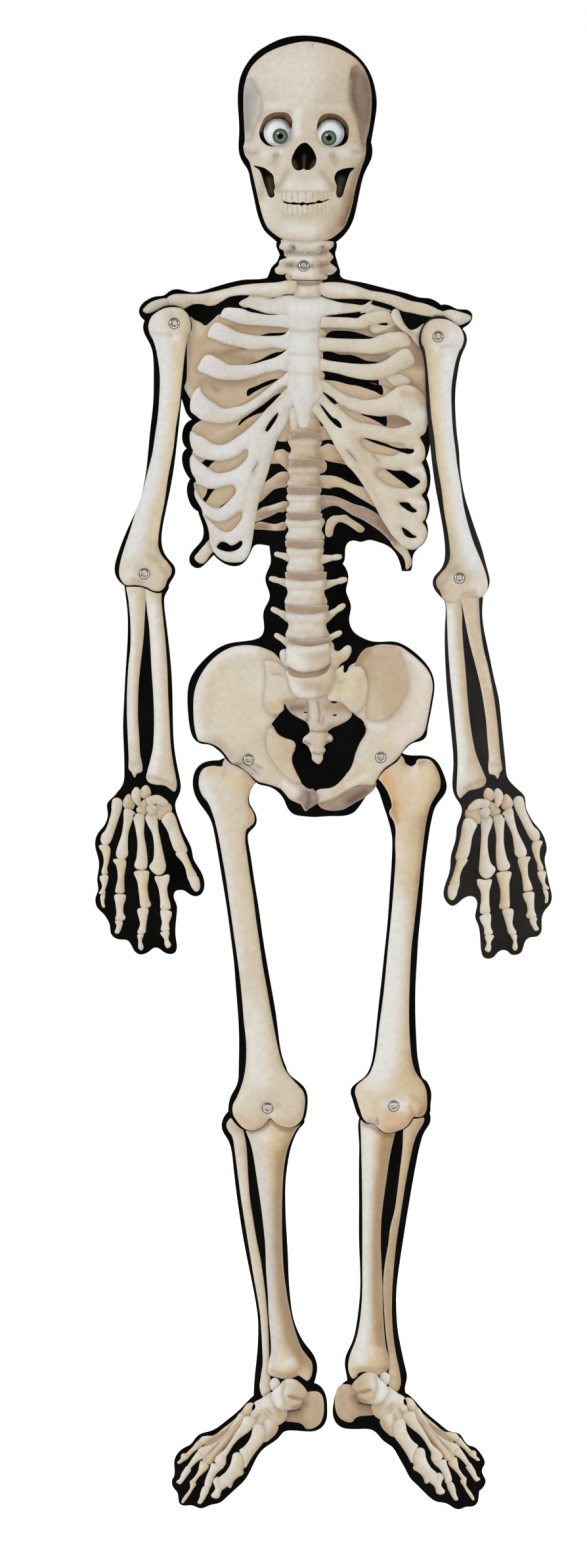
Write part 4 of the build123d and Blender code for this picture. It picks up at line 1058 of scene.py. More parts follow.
# ---------------------------------------------------------------- torso: what lies behind the ribs
printed(
    "torso", "shoulder_blades", 0,
    bone([(-134.5, 1338), (-131, 1342), (-131, 1361), (-126, 1358), (-119, 1355), (-113, 1351.5),
          (-105, 1358), (-98, 1364), (-90, 1362), (-60, 1354), (-17, 1351), (-17, 1298),
          (-22, 1284), (-45, 1266), (-64, 1252), (-95, 1246), (-122, 1250), (-128, 1262),
          (-131, 1268), (-134, 1273), (-137.5, 1281), (-135, 1290), (-134.5, 1310)],
         "tan", dome=0.15, gain=0.98,
         dabs=[((214, 202, 176), 0.95, 5, [(-128, 1354), (-122, 1349), (-127, 1344)]),
               (BUFF, 0.7, 3.5, [(-120, 1342), (-108, 1349), (-98, 1360)]),
               ((208, 198, 180), 0.9, 3.5, [(-135, 1284), (-131, 1276), (-128, 1272)]),
               (SAND, 0.4, 10, [(-128, 1330), (-126, 1300)]),
               (UMBER, 0.55, 2.6, [(-92, 1320.5), (-78, 1323), (-68, 1325)]),
               ((148, 122, 94), 0.55, 5, [(-104, 1320), (-84, 1316), (-60, 1312)]),
               ((150, 122, 96), 0.5, 6, [(-84, 1350), (-50, 1348), (-24, 1346)]),
               ((150, 124, 98), 0.45, 5, [(-118, 1287), (-90, 1285), (-60, 1287)]),
               (SAND, 0.5, 8, [(-112, 1274), (-95, 1266), (-80, 1268)]),
               (BUFF, 0.6, 1.6, [(-88, 1257.5), (-76, 1262), (-66, 1269), (-50, 1278)])]),
    bone([(84, 1345), (96, 1352), (104, 1360), (100, 1366), (103, 1370), (106.5, 1369), (109, 1364),
          (112, 1357), (116, 1351), (121, 1346), (126, 1346), (132, 1350), (137, 1353), (136, 1330),
          (134, 1324), (137, 1312), (138, 1290), (139, 1262), (139, 1235), (110, 1236), (92, 1246),
          (86, 1275), (84, 1310)],
         "tan", side=1, dome=0.15, gain=0.98,
         dabs=[((216, 206, 190), 0.95, 4, [(131, 1345), (130, 1336), (134, 1332)]),
               ((206, 192, 166), 0.8, 3.5, [(103, 1367), (108, 1358), (116, 1349)]),
               (UMBER, 0.8, 4, [(104, 1348), (116, 1344), (122, 1338)]),
               ((140, 112, 86), 0.7, 7, [(127, 1330), (130, 1318), (132, 1308)]),
               (SAND, 0.85, 4, [(110, 1297), (122, 1298), (136, 1297)]),
               ((150, 124, 96), 0.7, 5, [(112, 1288), (130, 1282), (134, 1272)]),
               ((140, 114, 90), 0.6, 4, [(92, 1277), (102, 1277)]),
               ((150, 122, 96), 0.6, 5, [(100, 1244), (114, 1241)])]),
)


def beside_spine(gain, points, **rules):
    """A back rib where it leaves the spine."""
    return bone(points, "tan", dome=0.85, gain=gain, **rules)


printed(
    "torso", "back_ribs", 1,
    # left, from the top down
    bone([(-129, 1233), (-120, 1242), (-105, 1245), (-85, 1245), (-66, 1252), (-45, 1266),
          (-22, 1286), (-18, 1279), (-36, 1260), (-52, 1243), (-70, 1226), (-85, 1218), (-97, 1212),
          (-110, 1216), (-122, 1224)], "tan", dome=0.2,
         dabs=[((208, 192, 162), 0.7, 2.2, [(-112, 1222), (-96, 1229), (-78, 1237)]),
               ((176, 150, 118), 0.5, 5, [(-86, 1224), (-66, 1238)]),
               ((150, 122, 96), 0.6, 3, [(-27, 1275), (-22, 1279)])]),
    bone([(-129, 1207), (-118, 1202), (-104, 1200), (-85, 1202), (-74, 1208), (-66, 1213),
          (-61, 1206), (-66, 1195), (-77, 1186), (-92, 1180), (-106, 1182), (-118, 1190)], "tan",
         dome=0.25,
         gain=1.05),
    bone([(-126, 1172), (-112, 1170), (-95, 1170), (-82, 1173), (-75, 1164), (-78, 1153),
          (-90, 1143), (-103, 1139), (-115, 1146), (-124, 1160)], "tan", dome=0.25, gain=1.1,
         dabs=[(SAND, 0.5, 6, [(-108, 1152), (-94, 1160)])]),
    bone([(-117, 1136), (-104, 1131), (-90, 1132), (-72, 1143), (-68, 1132), (-78, 1116),
          (-92, 1112), (-106, 1122)], "tan", dome=0.25, gain=1.08),
    bone([(-31, 1220), (-16, 1221), (-13, 1238), (-12, 1248), (-15, 1248), (-22, 1243),
          (-27, 1232)],
         "tan", dome=0.4, gain=1.0),
    beside_spine(1.0, [(-41, 1194), (-38, 1204), (-33, 1208.5), (-25, 1210), (-20, 1207),
                       (-15, 1203), (-15, 1187), (-20, 1186), (-24, 1190), (-29, 1193.5),
                       (-35, 1193.5)],
                 dabs=[((220, 206, 178), 0.7, 4, [(-30, 1203)]), (UMBER, 0.5, 4, [(-18, 1190)])]),
    beside_spine(1.05, [(-50, 1168), (-44, 1173), (-37, 1178), (-30, 1183), (-23, 1184.5),
                        (-16, 1182), (-18, 1172), (-21, 1167), (-27, 1166), (-35, 1164),
                        (-42, 1158), (-52, 1149), (-55, 1156)],
                 dabs=[((150, 118, 88), 0.5, 5, [(-30, 1172), (-22, 1176)])]),
    beside_spine(1.0, [(-57, 1127), (-55, 1138), (-48, 1143.5), (-40, 1145.5), (-32, 1148),
                       (-24, 1150.5), (-18, 1149), (-20, 1141), (-25, 1138), (-30, 1138),
                       (-37, 1134.5), (-45, 1131)],
                 dabs=[((216, 206, 190), 0.8, 4, [(-38, 1142), (-30, 1144)]),
                       (UMBER, 0.6, 4, [(-50, 1134), (-24, 1142)])]),
    beside_spine(0.9, [(-59, 1119), (-56, 1125), (-50, 1127), (-42, 1125.5), (-33, 1124.5),
                       (-24, 1127), (-20, 1126), (-22, 1118.5), (-28, 1117), (-36, 1117),
                       (-46, 1118)],
                 dabs=[(UMBER, 0.7, 5, [(-52, 1122), (-44, 1121)]),
                       ((216, 204, 188), 0.8, 3, [(-34, 1120)]), (UMBER, 0.4, 3, [(-26, 1121)])]),
    bone([(-126, 1086), (-121, 1093), (-115, 1100), (-108, 1107), (-103, 1103), (-102, 1096),
          (-108, 1089), (-112, 1083), (-116, 1079.5), (-121, 1080)],
         "cream", dabs=[((150, 128, 100), 0.6, 4, [(-106, 1100)])]),
    # right, from the top down
    beside_spine(0.95, [(17, 1236), (20, 1236), (25, 1235), (32, 1222), (26, 1221), (17, 1221)]),
    beside_spine(1.0, [(16, 1211), (21, 1214), (27, 1216.5), (32, 1215), (37, 1214), (43, 1206),
                       (50, 1193), (40, 1194), (31, 1195.5), (21, 1198), (16, 1199)],
                 dabs=[(UMBER, 0.5, 3, [(36, 1197), (44, 1196)])]),
    beside_spine(0.8, [(17, 1199), (22, 1197.5), (25, 1194), (25, 1187), (21, 1183), (17, 1184)]),
    beside_spine(1.05, [(16, 1179), (28, 1180), (39, 1178), (50, 1172.5), (60, 1168.5), (70, 1165),
                        (78, 1155), (83, 1143), (72, 1149), (60, 1156), (50, 1162), (42, 1166),
                        (33, 1166.5), (28, 1165), (16, 1168)],
                 dabs=[((212, 194, 160), 0.5, 5, [(34, 1175), (56, 1164)])]),
    bone([(16, 1156), (27, 1157), (35, 1156), (45, 1152.5), (56, 1147.5), (68, 1144), (80, 1138),
          (90, 1130), (97, 1119), (106, 1105), (98, 1105), (92, 1111), (85, 1117), (75, 1124),
          (65, 1130), (55, 1134.5), (45, 1141), (37, 1145), (30, 1145), (24, 1143), (16, 1140)],
         "brown", dome=0.9, gain=1.15, dabs=[((196, 172, 148), 0.5, 4, [(26, 1150), (46, 1147)]),
                                             ((104, 82, 68), 0.5, 4, [(84, 1126), (98, 1110)])]),
    bone([(36, 1262), (62, 1257), (96, 1252), (126, 1251), (127, 1234), (92, 1231), (60, 1237),
          (40, 1248)], "tan", dome=0.2, gain=1.1,
         dabs=[(UMBER, 0.75, 8, [(98, 1243), (118, 1242)])]),
    bone([(59, 1226), (90, 1225), (127, 1218), (129, 1200), (98, 1198), (72, 1203), (60, 1214)],
         "tan", dome=0.2, gain=1.1, dabs=[((206, 184, 150), 0.5, 6, [(72, 1212), (92, 1208)])]),
    bone([(78, 1192), (104, 1192), (136, 1180), (136, 1162), (104, 1160), (80, 1172)],
         "tan", dome=0.2, gain=1.1, dabs=[((206, 184, 150), 0.5, 6, [(88, 1180), (104, 1172)])]),
    bone([(12, 1290), (35, 1292), (60, 1289), (92, 1281), (100, 1270), (60, 1262), (28, 1272)],
         "tan", dome=0.2, gain=1.1, dabs=[((206, 184, 150), 0.4, 6, [(40, 1280), (70, 1274)])]),
    bone([(16, 1352), (45, 1353), (75, 1350), (92, 1345), (92, 1336), (45, 1337), (16, 1340)],
         "brown", dome=0.2, gain=1.1),
    bone([(16, 1327), (45, 1326), (75, 1323), (96, 1318), (94, 1306), (45, 1306), (16, 1312)],
         "brown", dome=0.2, gain=1.1),
    beside_spine(1.15, [(104, 1106), (110, 1102), (116, 1099), (119, 1092), (121.5, 1086),
                        (122.5, 1079), (119, 1073.5), (116, 1073), (115, 1080), (113, 1086),
                        (108, 1092), (102, 1098), (98, 1105)],
                 dabs=[((214, 204, 184), 0.6, 3, [(118, 1086), (112, 1098)]),
                       (UMBER, 0.6, 3, [(103, 1102)])]),
    beside_spine(1.05, [(23.5, 1118), (25, 1127), (28.5, 1131.5), (33, 1134), (40, 1134.5),
                        (47, 1135), (52, 1131.5), (58, 1127.5), (65, 1123), (68.5, 1119),
                        (66.5, 1115.5), (62, 1115), (56, 1119), (50, 1123), (44, 1126),
                        (39, 1126.5), (35.5, 1123.5), (33, 1118), (32, 1112), (28.5, 1109.5),
                        (24.5, 1111)],
                 dabs=[((214, 196, 166), 0.5, 4, [(27, 1120), (36, 1131)]),
                       (UMBER, 0.35, 4, [(62, 1118)])]),
)
printed(
    "torso", "rib_shadows", 2,
    *(gap(points) for points in [
        [(-51, 1339), (-46, 1341.5), (-38, 1343), (-30, 1343), (-19, 1343.5), (-21, 1339.5),
         (-36, 1338)],
        [(-68, 1305), (-58, 1309.5), (-50, 1312.5), (-42, 1317), (-34, 1320.5), (-27, 1321.5),
         (-20, 1323.5), (-24, 1317), (-40, 1310), (-55, 1305)],
        [(-65.5, 1270.5), (-65, 1278), (-55, 1282.5), (-45, 1287), (-38, 1289.5), (-30, 1290.5),
         (-38, 1285), (-48, 1280.5), (-58, 1275)],
        [(-76, 1236.5), (-73, 1243), (-65, 1249), (-55, 1256), (-45, 1263), (-35, 1271),
         (-27, 1274), (-34, 1264), (-40, 1258.5), (-46, 1253), (-56, 1249.5), (-66, 1244.5)],
        [(-30, 1222), (-26, 1233.5), (-22, 1240), (-27, 1240), (-36, 1220)],
        [(-118.5, 1193), (-110, 1200), (-101, 1199), (-106, 1194), (-112, 1188.5)],
        [(-117.5, 1151), (-113, 1158), (-109.5, 1167), (-102, 1166.5), (-107, 1159), (-114, 1149)],
        [(-98, 1143), (-90, 1149), (-84, 1154), (-78, 1161), (-77, 1156), (-84, 1149), (-92, 1141)],
        [(-103, 1098), (-95, 1107), (-84, 1103), (-72, 1109), (-68, 1102), (-76, 1092),
         (-90, 1090)],
        [(25, 1337), (27, 1343), (33, 1345.5), (45, 1345.5), (55, 1344.5), (65, 1342), (73, 1339),
         (82, 1337), (70, 1334.5), (45, 1335)],
        [(84, 1353), (90, 1356), (95, 1355), (93.5, 1351.5)],
        [(21, 1317), (22, 1321.5), (30, 1321.5), (40, 1318.5), (52, 1318), (61, 1315.5),
         (70, 1311.5), (80, 1310), (87, 1308), (75, 1305.5), (45, 1307), (24, 1311)],
        [(22, 1290), (23, 1298), (30, 1298), (45, 1294.5), (60, 1292.5), (70, 1287.5), (80, 1284.5),
         (88.5, 1282), (89, 1272), (80, 1276), (70, 1279.5), (60, 1282.5), (50, 1284), (35, 1288)],
        [(36, 1377.5), (38, 1381.5), (49, 1382), (46, 1379), (41, 1377.5)],
        [(36, 1359), (38, 1363), (46, 1362.5), (51, 1364), (56, 1366), (62, 1365), (70, 1366),
         (66, 1361), (58, 1358)],
        [(64, 1250), (76, 1250), (86, 1248.5), (93, 1249), (93.5, 1236.5), (84, 1241),
         (75, 1245.5)],
        [(31, 1245.5), (36, 1245), (43, 1238), (42, 1232), (36, 1235), (29, 1242)],
        [(66, 1223.5), (78, 1221), (90, 1217.5), (103, 1212.5), (113, 1211), (124, 1211),
         (126, 1206), (119, 1203.5), (110, 1207), (102, 1210), (91, 1213.5), (79, 1217.5)],
        [(92, 1188), (103, 1187), (115, 1187), (124, 1181), (133, 1173), (123, 1164.5),
         (113, 1171.5), (102, 1179.5)],
    ]),
)
printed(
    "torso", "rib_glimpses", 2,
    *(bone(points, "cream", dome=0.35, gain=0.9,
           dabs=[(SAND, 0.4, 3, [points[-1]])]) for points in [
        [(75, 1350), (81, 1354), (88, 1352.5), (96, 1356), (104, 1354), (99, 1349), (90, 1344),
         (82, 1342), (76, 1345)],
        [(94, 1291), (100, 1296), (108, 1296), (118, 1292), (121, 1288), (118, 1284), (110, 1281),
         (103, 1282), (98, 1286)],
        [(73, 1376), (81, 1374), (90, 1371.5), (99, 1368), (90, 1364), (75, 1362), (64, 1366),
         (67, 1371)],
        [(-75, 1376), (-72, 1380), (-66, 1383), (-58, 1388), (-44, 1386), (-38, 1381), (-55, 1374),
         (-68, 1372)],
    ]),
    beside_spine(1.1, [(14, 1347), (20, 1347), (24.5, 1343), (23.5, 1338), (18, 1337), (14, 1340)]),
    beside_spine(1.1, [(14, 1322), (19, 1321), (22, 1318), (20, 1314.5), (14, 1314)]),
    beside_spine(1.1, [(15, 1299), (20, 1299), (23, 1295), (21, 1289), (15, 1288)]),
)

# ---------------------------------------------------------------- torso: spine
VERTEBRAE = [  # top, bottom, left, right
    (1258, 1229, -17, 20), (1222, 1197, -19, 20), (1190, 1167, -20, 20), (1158, 1137, -21, 19),
    (1130, 1106, -22, 23), (1098, 1070, -21, 22), (1061, 1032, -23, 26), (1023, 994, -22, 28),
    (989, 960, -21.5, 30),
]
DISCS = [  # top, bottom, left, right, how far the middle sags
    (1228, 1220, -17, 18, -3), (1198, 1189, -17, 18, -1.5), (1168, 1158, -19, 18, 0),
    (1138, 1129, -20, 19, 0.5), (1107, 1097, -21, 21, 1), (1071, 1061, -21, 24, 1.5),
    (1033, 1023.5, -21, 26, 2), (995.5, 988, -20, 28.5, 3),
]
PROCESSES = [  # z at the tip, x at the tip, x at the root, z at the root
    (1090, -32, -16, 1086), (1062, -38, -16, 1056), (1027, -36, -18, 1018), (997, -32, -16, 987),
    (1087, 40, 18, 1084), (1061, 46, 20, 1054), (1031, 44, 22, 1016), (1000, 40, 22, 991),
]
HIGH_SPINE = 1160          # above this the spine is in the rib cage's shade
WAIST = 3.6                # how far a vertebra narrows at its middle


def vertebra(top, bottom, left, right):
    """A vertebra seen from in front: a block with a waist and two lips."""
    upper = bottom > HIGH_SPINE
    middle, lip = (top + bottom) / 2, min(3.5, (top - bottom) / 4)
    return bone(
        [(left + 4, top + 2), ((left + right) / 2, top + 2), (right - 4, top + 2),
         (right, top - lip),
         (right - WAIST, middle), (right, bottom + lip), (right - 5, bottom - 2),
         ((left + right) / 2, bottom - 5), (left + 5, bottom - 2), (left, bottom + lip),
         (left + WAIST, middle), (left, top - lip)],
        "tan" if upper else "cream", dome=0.75, side=0.7, gain=1.15 if upper else 1.0,
        dabs=[(GLOW, 0.2 if upper else 0.5, 5, [(left * 0.45, middle), (right * 0.15, middle)]),
              (GLOW, 0.3 if upper else 0.6, 2.2,
               [(left + 3, top - lip), (0, top - lip - 1), (right - 6, top - lip)]),
              (GLOW, 0.45, 2.2, [(left + 3, bottom + lip), (0, bottom + lip - 2)]),
              (SHADOW, 0.5, 4.5, [(right - 2, top - 3), (right - 3, bottom + 3)]),
              (SHADOW, 0.22, 2, [(left + 5, middle + 3), (right - 6, middle + 3)])],
    )


def disc(top, bottom, left, right, sag):
    """The dark cushion between two vertebrae."""
    middle = (left + right) / 2
    return bone(
        [(left, top - 1), (middle - 6, top - sag), (middle + 6, top - sag), (right, top - 1),
         (right + 1, (top + bottom) / 2), (right - 1, bottom + 1), (middle + 6, bottom - sag),
         (middle - 6, bottom - sag), (left + 1, bottom + 1), (left - 1, (top + bottom) / 2)],
        "disc", dome=0.5, gain=1.1,
    )


def process(z, x, root, low):
    """A process of a vertebra: a rod with a knob near its tip."""
    return tube([(x, z, 3.0), (x * 0.87 + root * 0.13, z * 0.87 + low * 0.13, 3.7),
                 (x * 0.62 + root * 0.38, z * 0.62 + low * 0.38, 3.2), (root, low, 6)],
                "cream", gain=0.95)


printed("torso", "spine_processes", 2, *(process(*p) for p in PROCESSES),
        bone([(26, 990), (31, 989.5), (33.5, 986), (34, 981), (38, 979), (42, 981), (46, 984.5),
              (50, 986), (53, 984), (53.5, 979), (51, 973), (48, 969), (43, 966), (40, 963),
              (37, 957), (34, 948), (26, 955)], "cream", dome=0.7,
             dabs=[((196, 172, 132), 0.6, 5, [(40, 975), (36, 964)])]),
        bone([(-16, 981), (-20, 981), (-24, 981.5), (-28, 979), (-28.5, 973), (-27, 967),
              (-24, 962), (-20, 957), (-16, 960)], "white", dome=0.7))
printed("torso", "vertebrae", 3, *(vertebra(*v) for v in VERTEBRAE))
printed("torso", "spine_discs", 4, *(disc(*d) for d in DISCS))
printed(
    "torso", "spine_foot", 6,
    bone([(-20, 958), (-19, 948), (-14, 932), (-8, 926.5), (3, 924.5), (14, 925.5), (24, 929),
          (31, 936), (35, 945), (35, 953), (30, 962), (5, 966)],
         "cream", dome=0.8, dabs=[(GLOW, 0.5, 4, [(-14, 940), (-4, 930), (10, 929)]),
                                  (SHADOW, 0.35, 5, [(2, 940), (18, 938)]),
                                  ((190, 160, 120), 0.55, 3, [(26, 932), (33, 942), (34, 952)])]),
    bone([(-21, 963), (-20, 956), (-16, 951), (-8, 948.5), (5, 948.5), (18, 951), (27, 957),
          (30, 968), (26, 974), (0, 972), (-18, 972)],
         "disc", dome=0.3, gain=1.1, dabs=[((132, 106, 90), 0.6, 5, [(24, 957), (30, 966)])]),
)
printed(
    "torso", "last_vertebra", 7,
    bone([(-20.5, 984), (-12, 985.5), (4, 984.5), (18, 985.5), (27, 988), (29.5, 980), (29, 973),
          (29.5, 967), (24, 961.5), (14, 957), (0, 955.2), (-10, 957), (-18, 961.5), (-21.5, 964),
          (-21, 975)],
         "cream", dome=0.75, side=0.7,
         dabs=[(GLOW, 0.75, 8, [(-12, 972), (-6, 964)]),
               (GLOW, 0.5, 2.4, [(-18, 981), (0, 980), (20, 983)]),
               (SHADOW, 0.3, 5, [(10, 972), (22, 974)])]),
)

# ---------------------------------------------------------------- torso: pelvis
printed(
    "torso", "pelvis_inside", 1,
    bone([(-44, 900), (-36, 893), (-31, 885), (-23, 880), (-15, 877.5), (-10.5, 873), (-11.5, 866),
          (-15, 857), (-12.5, 847), (-8.5, 837), (-3, 827), (2, 821), (-6, 822), (-16, 830),
          (-28, 850), (-40, 874)], "tan", dome=0.6, side=-1, gain=0.95,
         dabs=[((120, 98, 84), 0.6, 4, [(-26, 876), (-16, 862), (-12, 842)])]),
    bone([(74, 900), (68, 897), (70, 891), (69, 884), (63, 874), (58, 862), (54, 847), (46, 836),
          (50, 830), (66, 838), (78, 860), (82, 885)], "tan", dome=0.6, gain=1.05,
         dabs=[((196, 180, 156), 0.6, 4, [(60, 858), (66, 876)])]),
    bone([(14, 807), (22, 808), (30, 810), (40, 817), (55, 823), (68, 827), (81, 830), (80, 822),
          (70, 813), (58, 806), (46, 799), (38, 797), (28, 797), (19, 800)], "brown", dome=0.6,
         dabs=[((92, 78, 66), 0.7, 5, [(52, 808), (68, 818)]),
               ((170, 150, 128), 0.6, 3.5, [(26, 803), (40, 806)])]),
)
SACRUM = bone(
    [(-22, 921), (-12, 934), (10, 938), (32, 934), (46, 920), (52.5, 911), (54, 906), (49, 900),
     (40, 895), (31, 891), (26, 886.5), (31, 882.5), (32, 877), (26, 874), (22, 870), (24, 866),
     (21, 861), (21, 856.5), (19, 852.5), (16, 850), (12, 852), (8.5, 855.5), (8, 861), (6, 866),
     (3.5, 871), (-2, 875), (-1, 880.5), (5, 885.5), (5.5, 891), (2, 898), (-8, 903.5), (-17, 910)],
    "sacrum", dome=0.8, fill=1.3,
    dabs=[((130, 102, 88), 0.85, 6, [(-14, 914), (-2, 915)]),
          ((206, 190, 176), 0.7, 5, [(16, 903)]),
          ((172, 142, 108), 0.7, 6, [(26, 915), (44, 914)]),
          ((206, 190, 174), 0.7, 6, [(24, 901), (46, 903)]),
          ((208, 196, 172), 0.7, 7, [(14, 886), (16, 874), (15, 858)]),
          ((140, 116, 96), 0.55, 1.6, [(2, 899), (7, 905)]),
          ((140, 116, 96), 0.5, 1.6, [(20, 897), (22, 904)]),
          ((120, 94, 74), 0.65, 1.5, [(6, 888), (16, 887), (24, 888)]),
          ((120, 94, 74), 0.65, 1.5, [(0, 876), (6, 873)]),
          ((120, 94, 74), 0.65, 1.5, [(24, 875), (31, 876)]),
          ((120, 94, 74), 0.65, 1.3, [(9, 863), (15, 861.5), (21, 863)]),
          ((214, 202, 188), 0.75, 3.5, [(8, 925), (10, 912), (9, 900)]),
          ((128, 102, 84), 0.6, 1.6, [(3, 921), (4, 908), (2, 898)]),
          ((128, 102, 84), 0.6, 1.6, [(15, 921), (17, 908), (16, 898)]),
          ((226, 216, 200), 0.7, 2, [(1, 880)]), ((226, 216, 200), 0.7, 2, [(29, 880)]),
          ((226, 216, 200), 0.7, 1.8, [(8, 867)]), ((226, 216, 200), 0.7, 1.8, [(24, 867)])],
)
printed("torso", "sacrum", 2, SACRUM)
HOLE_FLATNESS = 0.4        # height of a hole in the sacrum over its width
printed("torso", "sacrum_holes", 3, *(
    bone([(x - w, z), (x, z + w * HOLE_FLATNESS), (x + w, z), (x, z - w * HOLE_FLATNESS)],
         "black", dome=0.2, fill=1.5)
    for x, z, w in [(1, 909, 2.4), (33.5, 921, 4.0), (34.5, 906, 2.8)]))
LEFT_ILIUM = bone(
    [(-122, 878), (-125.5, 890), (-127, 905), (-127, 925), (-124, 940), (-117, 955), (-107, 968),
     (-95, 978), (-82, 984), (-68, 986), (-55, 985), (-45, 982), (-35, 977), (-28, 969), (-22, 958),
     (-19, 940), (-22, 922), (-27, 910), (-34, 901), (-38, 894), (-34, 886), (-26, 872), (-18, 858),
     (-12, 846), (-8, 836), (-3, 827.5), (3, 822.5), (8, 820), (7, 810), (0, 803), (-8, 805.5),
     (-17, 810), (-23, 817), (-29, 822.5), (-42, 827), (-52, 829.5), (-58, 834), (-66, 841),
     (-75, 847.5), (-84, 852), (-90, 860), (-97, 868), (-106, 873), (-117, 875.5)],
    "cream", side=0.9, dome=0.55,
    dabs=[((226, 224, 218), 0.85, 6, [(-121, 884), (-123, 905), (-122, 930), (-113, 952),
                                      (-98, 971), (-80, 980), (-60, 981)]),
          ((216, 204, 178), 0.6, 20, [(-90, 930), (-70, 900)]),
          (BUFF, 0.55, 9, [(-112, 900), (-108, 940), (-92, 962)]),
          ((222, 214, 198), 0.6, 12, [(-50, 950), (-46, 900)]),
          ((196, 176, 146), 0.5, 5, [(-42, 975), (-34, 955)]),
          (SHADOW, 0.35, 6, [(-100, 876), (-84, 860)]),
          ((120, 104, 90), 0.55, 3.2, [(-78, 850), (-62, 838)]),
          ((110, 96, 84), 0.5, 2, [(-72, 856), (-50, 846)]),
          ((212, 200, 178), 0.6, 6, [(-30, 840), (-14, 822)]),
          (GLOW, 0.6, 4, [(-24, 828), (-6, 814)]), (BUFF, 0.6, 7, [(-52, 862), (-36, 850)])],
)
RIGHT_ILIUM = bone(
    [(50, 960), (59, 967), (67, 976), (75, 983), (85, 986.5), (98, 986.5), (109, 984.5), (119, 978),
     (129, 970), (138, 961), (144, 951), (146.5, 938), (144, 921), (141, 904), (138, 890),
     (133.5, 882), (126, 877), (118, 872), (112, 864.5), (107, 857.5), (100, 851), (92, 845.5),
     (86, 838.5), (82, 831.5), (78, 826), (68, 826.5), (58, 824.5), (45, 818), (35, 812), (25, 808),
     (18, 806), (12, 807), (9, 813), (13, 819), (18, 821.5), (28, 822.5), (36, 826), (45, 835),
     (53, 846), (58, 860), (63, 872), (70, 884), (71.5, 891), (66, 900), (56, 908), (48, 920),
     (46, 940)],
    "cream", side=0.3, dome=0.5,
    dabs=[((224, 212, 200), 0.9, 13, [(134, 948), (134, 920), (126, 896), (108, 880)]),
          ((228, 224, 218), 0.7, 4, [(70, 974), (86, 983), (106, 981), (126, 968), (140, 950)]),
          ((214, 196, 166), 0.6, 8, [(96, 872), (82, 856)]), (GLOW, 0.6, 6, [(76, 896), (88, 892)]),
          ((206, 176, 142), 0.5, 5, [(64, 846), (54, 832), (34, 818)]),
          ((228, 220, 206), 0.6, 4, [(70, 836), (50, 826)])],
)
printed("torso", "hip_bones", 3, LEFT_ILIUM, RIGHT_ILIUM)
printed(
    "torso", "hip_bone_hollows", 4,
    bone([(57.9, 962), (61, 972), (66, 979), (73, 983.5), (89, 985), (104.8, 983), (111.8, 973),
          (114.6, 960.6), (118.2, 948), (117, 932), (109, 916.5), (101, 906), (90.7, 900),
          (80, 899), (71.3, 902.4), (70.2, 915), (72, 932), (70.2, 950), (64, 958)],
         "tan", dome=0.25, side=-0.6, gain=1.05, rim=0.2,
         dabs=[((194, 174, 144), 0.6, 12, [(92, 950), (94, 930)]),
               ((150, 126, 104), 0.6, 5, [(62, 968), (72, 980)]),
               ((206, 192, 162), 0.8, 11, [(74, 934), (76, 918), (82, 904)])]),
    bone([(-38.7, 892), (-30, 884), (-24, 879.5), (-14, 877), (-10.5, 872), (-13.3, 863.7),
          (-14.4, 853), (-9.8, 841), (-4, 828), (-15, 831), (-29, 844), (-38, 856.6), (-43.3, 869),
          (-43.5, 882)],
         "cream", dome=0.2, gain=0.72, rim=0.0,
         dabs=[((205, 191, 164), 0.9, 6, [(-42, 882), (-38, 866), (-28, 848), (-14, 833)]),
               ((196, 170, 138), 0.6, 7, [(-22, 872), (-20, 856)])]),
)
printed(
    "torso", "hip_bone_marks", 4,
    line([(-80, 848), (-72, 851), (-60, 845), (-54, 840)], 0.3),
    bone([(-4, 822), (0, 823), (5, 820), (9, 822), (13, 818), (16, 812), (15, 806), (10, 802),
          (5, 799), (1, 796), (-2, 800), (-5, 805), (-9, 810), (-6, 816)], "brown", dome=0.6,
         dabs=[((96, 82, 76), 0.7, 2.4, [(4, 818), (5, 808), (2, 800)]),
               ((176, 158, 140), 0.5, 3, [(11, 812)])]),
)
printed(
    "torso", "sacral_wings", 5,
    bone([(-46, 966), (-43, 969), (-34, 967), (-27, 963.5), (-22, 959), (-17, 952), (-6, 944),
          (-4, 930), (-10, 923), (-18, 920.5), (-24, 918), (-24, 912), (-32, 906.5), (-39.5, 908),
          (-45, 912), (-47, 920), (-46, 932), (-44, 946.5), (-45, 960)],
         "cream", dome=0.45, side=0.5, rim=0.15,
         dabs=[((210, 201, 184), 0.8, 10, [(-26, 946), (-24, 934)]),
               ((196, 174, 138), 0.75, 6, [(-42, 916), (-32, 914), (-22, 922)]),
               ((198, 182, 150), 0.55, 5, [(-38, 960), (-30, 957)]),
               (SHADOW, 0.45, 1.6, [(-36, 953), (-26, 952)]),
               (SHADOW, 0.5, 2.4, [(-24, 921), (-13, 924)])]),
    bone([(42, 962), (44.5, 962.5), (44.5, 956), (46, 954.5), (52, 958.5), (57.2, 961.3),
          (64.2, 961.3), (69.5, 953.5), (72.5, 939.5), (70, 921.8), (66, 914.8), (61, 909),
          (56, 908.5), (51, 912), (45, 918), (37.8, 921.5), (29, 922.5), (26, 928), (30, 945),
          (34, 955)],
         "cream", dome=0.5, side=0.4,
         dabs=[((214, 202, 174), 0.8, 9, [(50, 950), (50, 932)]),
               ((200, 176, 138), 0.6, 6, [(64, 946), (62, 922)]),
               ((206, 184, 142), 0.6, 4, [(38, 950), (40, 932)]),
               (SHADOW, 0.4, 1.6, [(40, 943), (46, 947)])]),
)

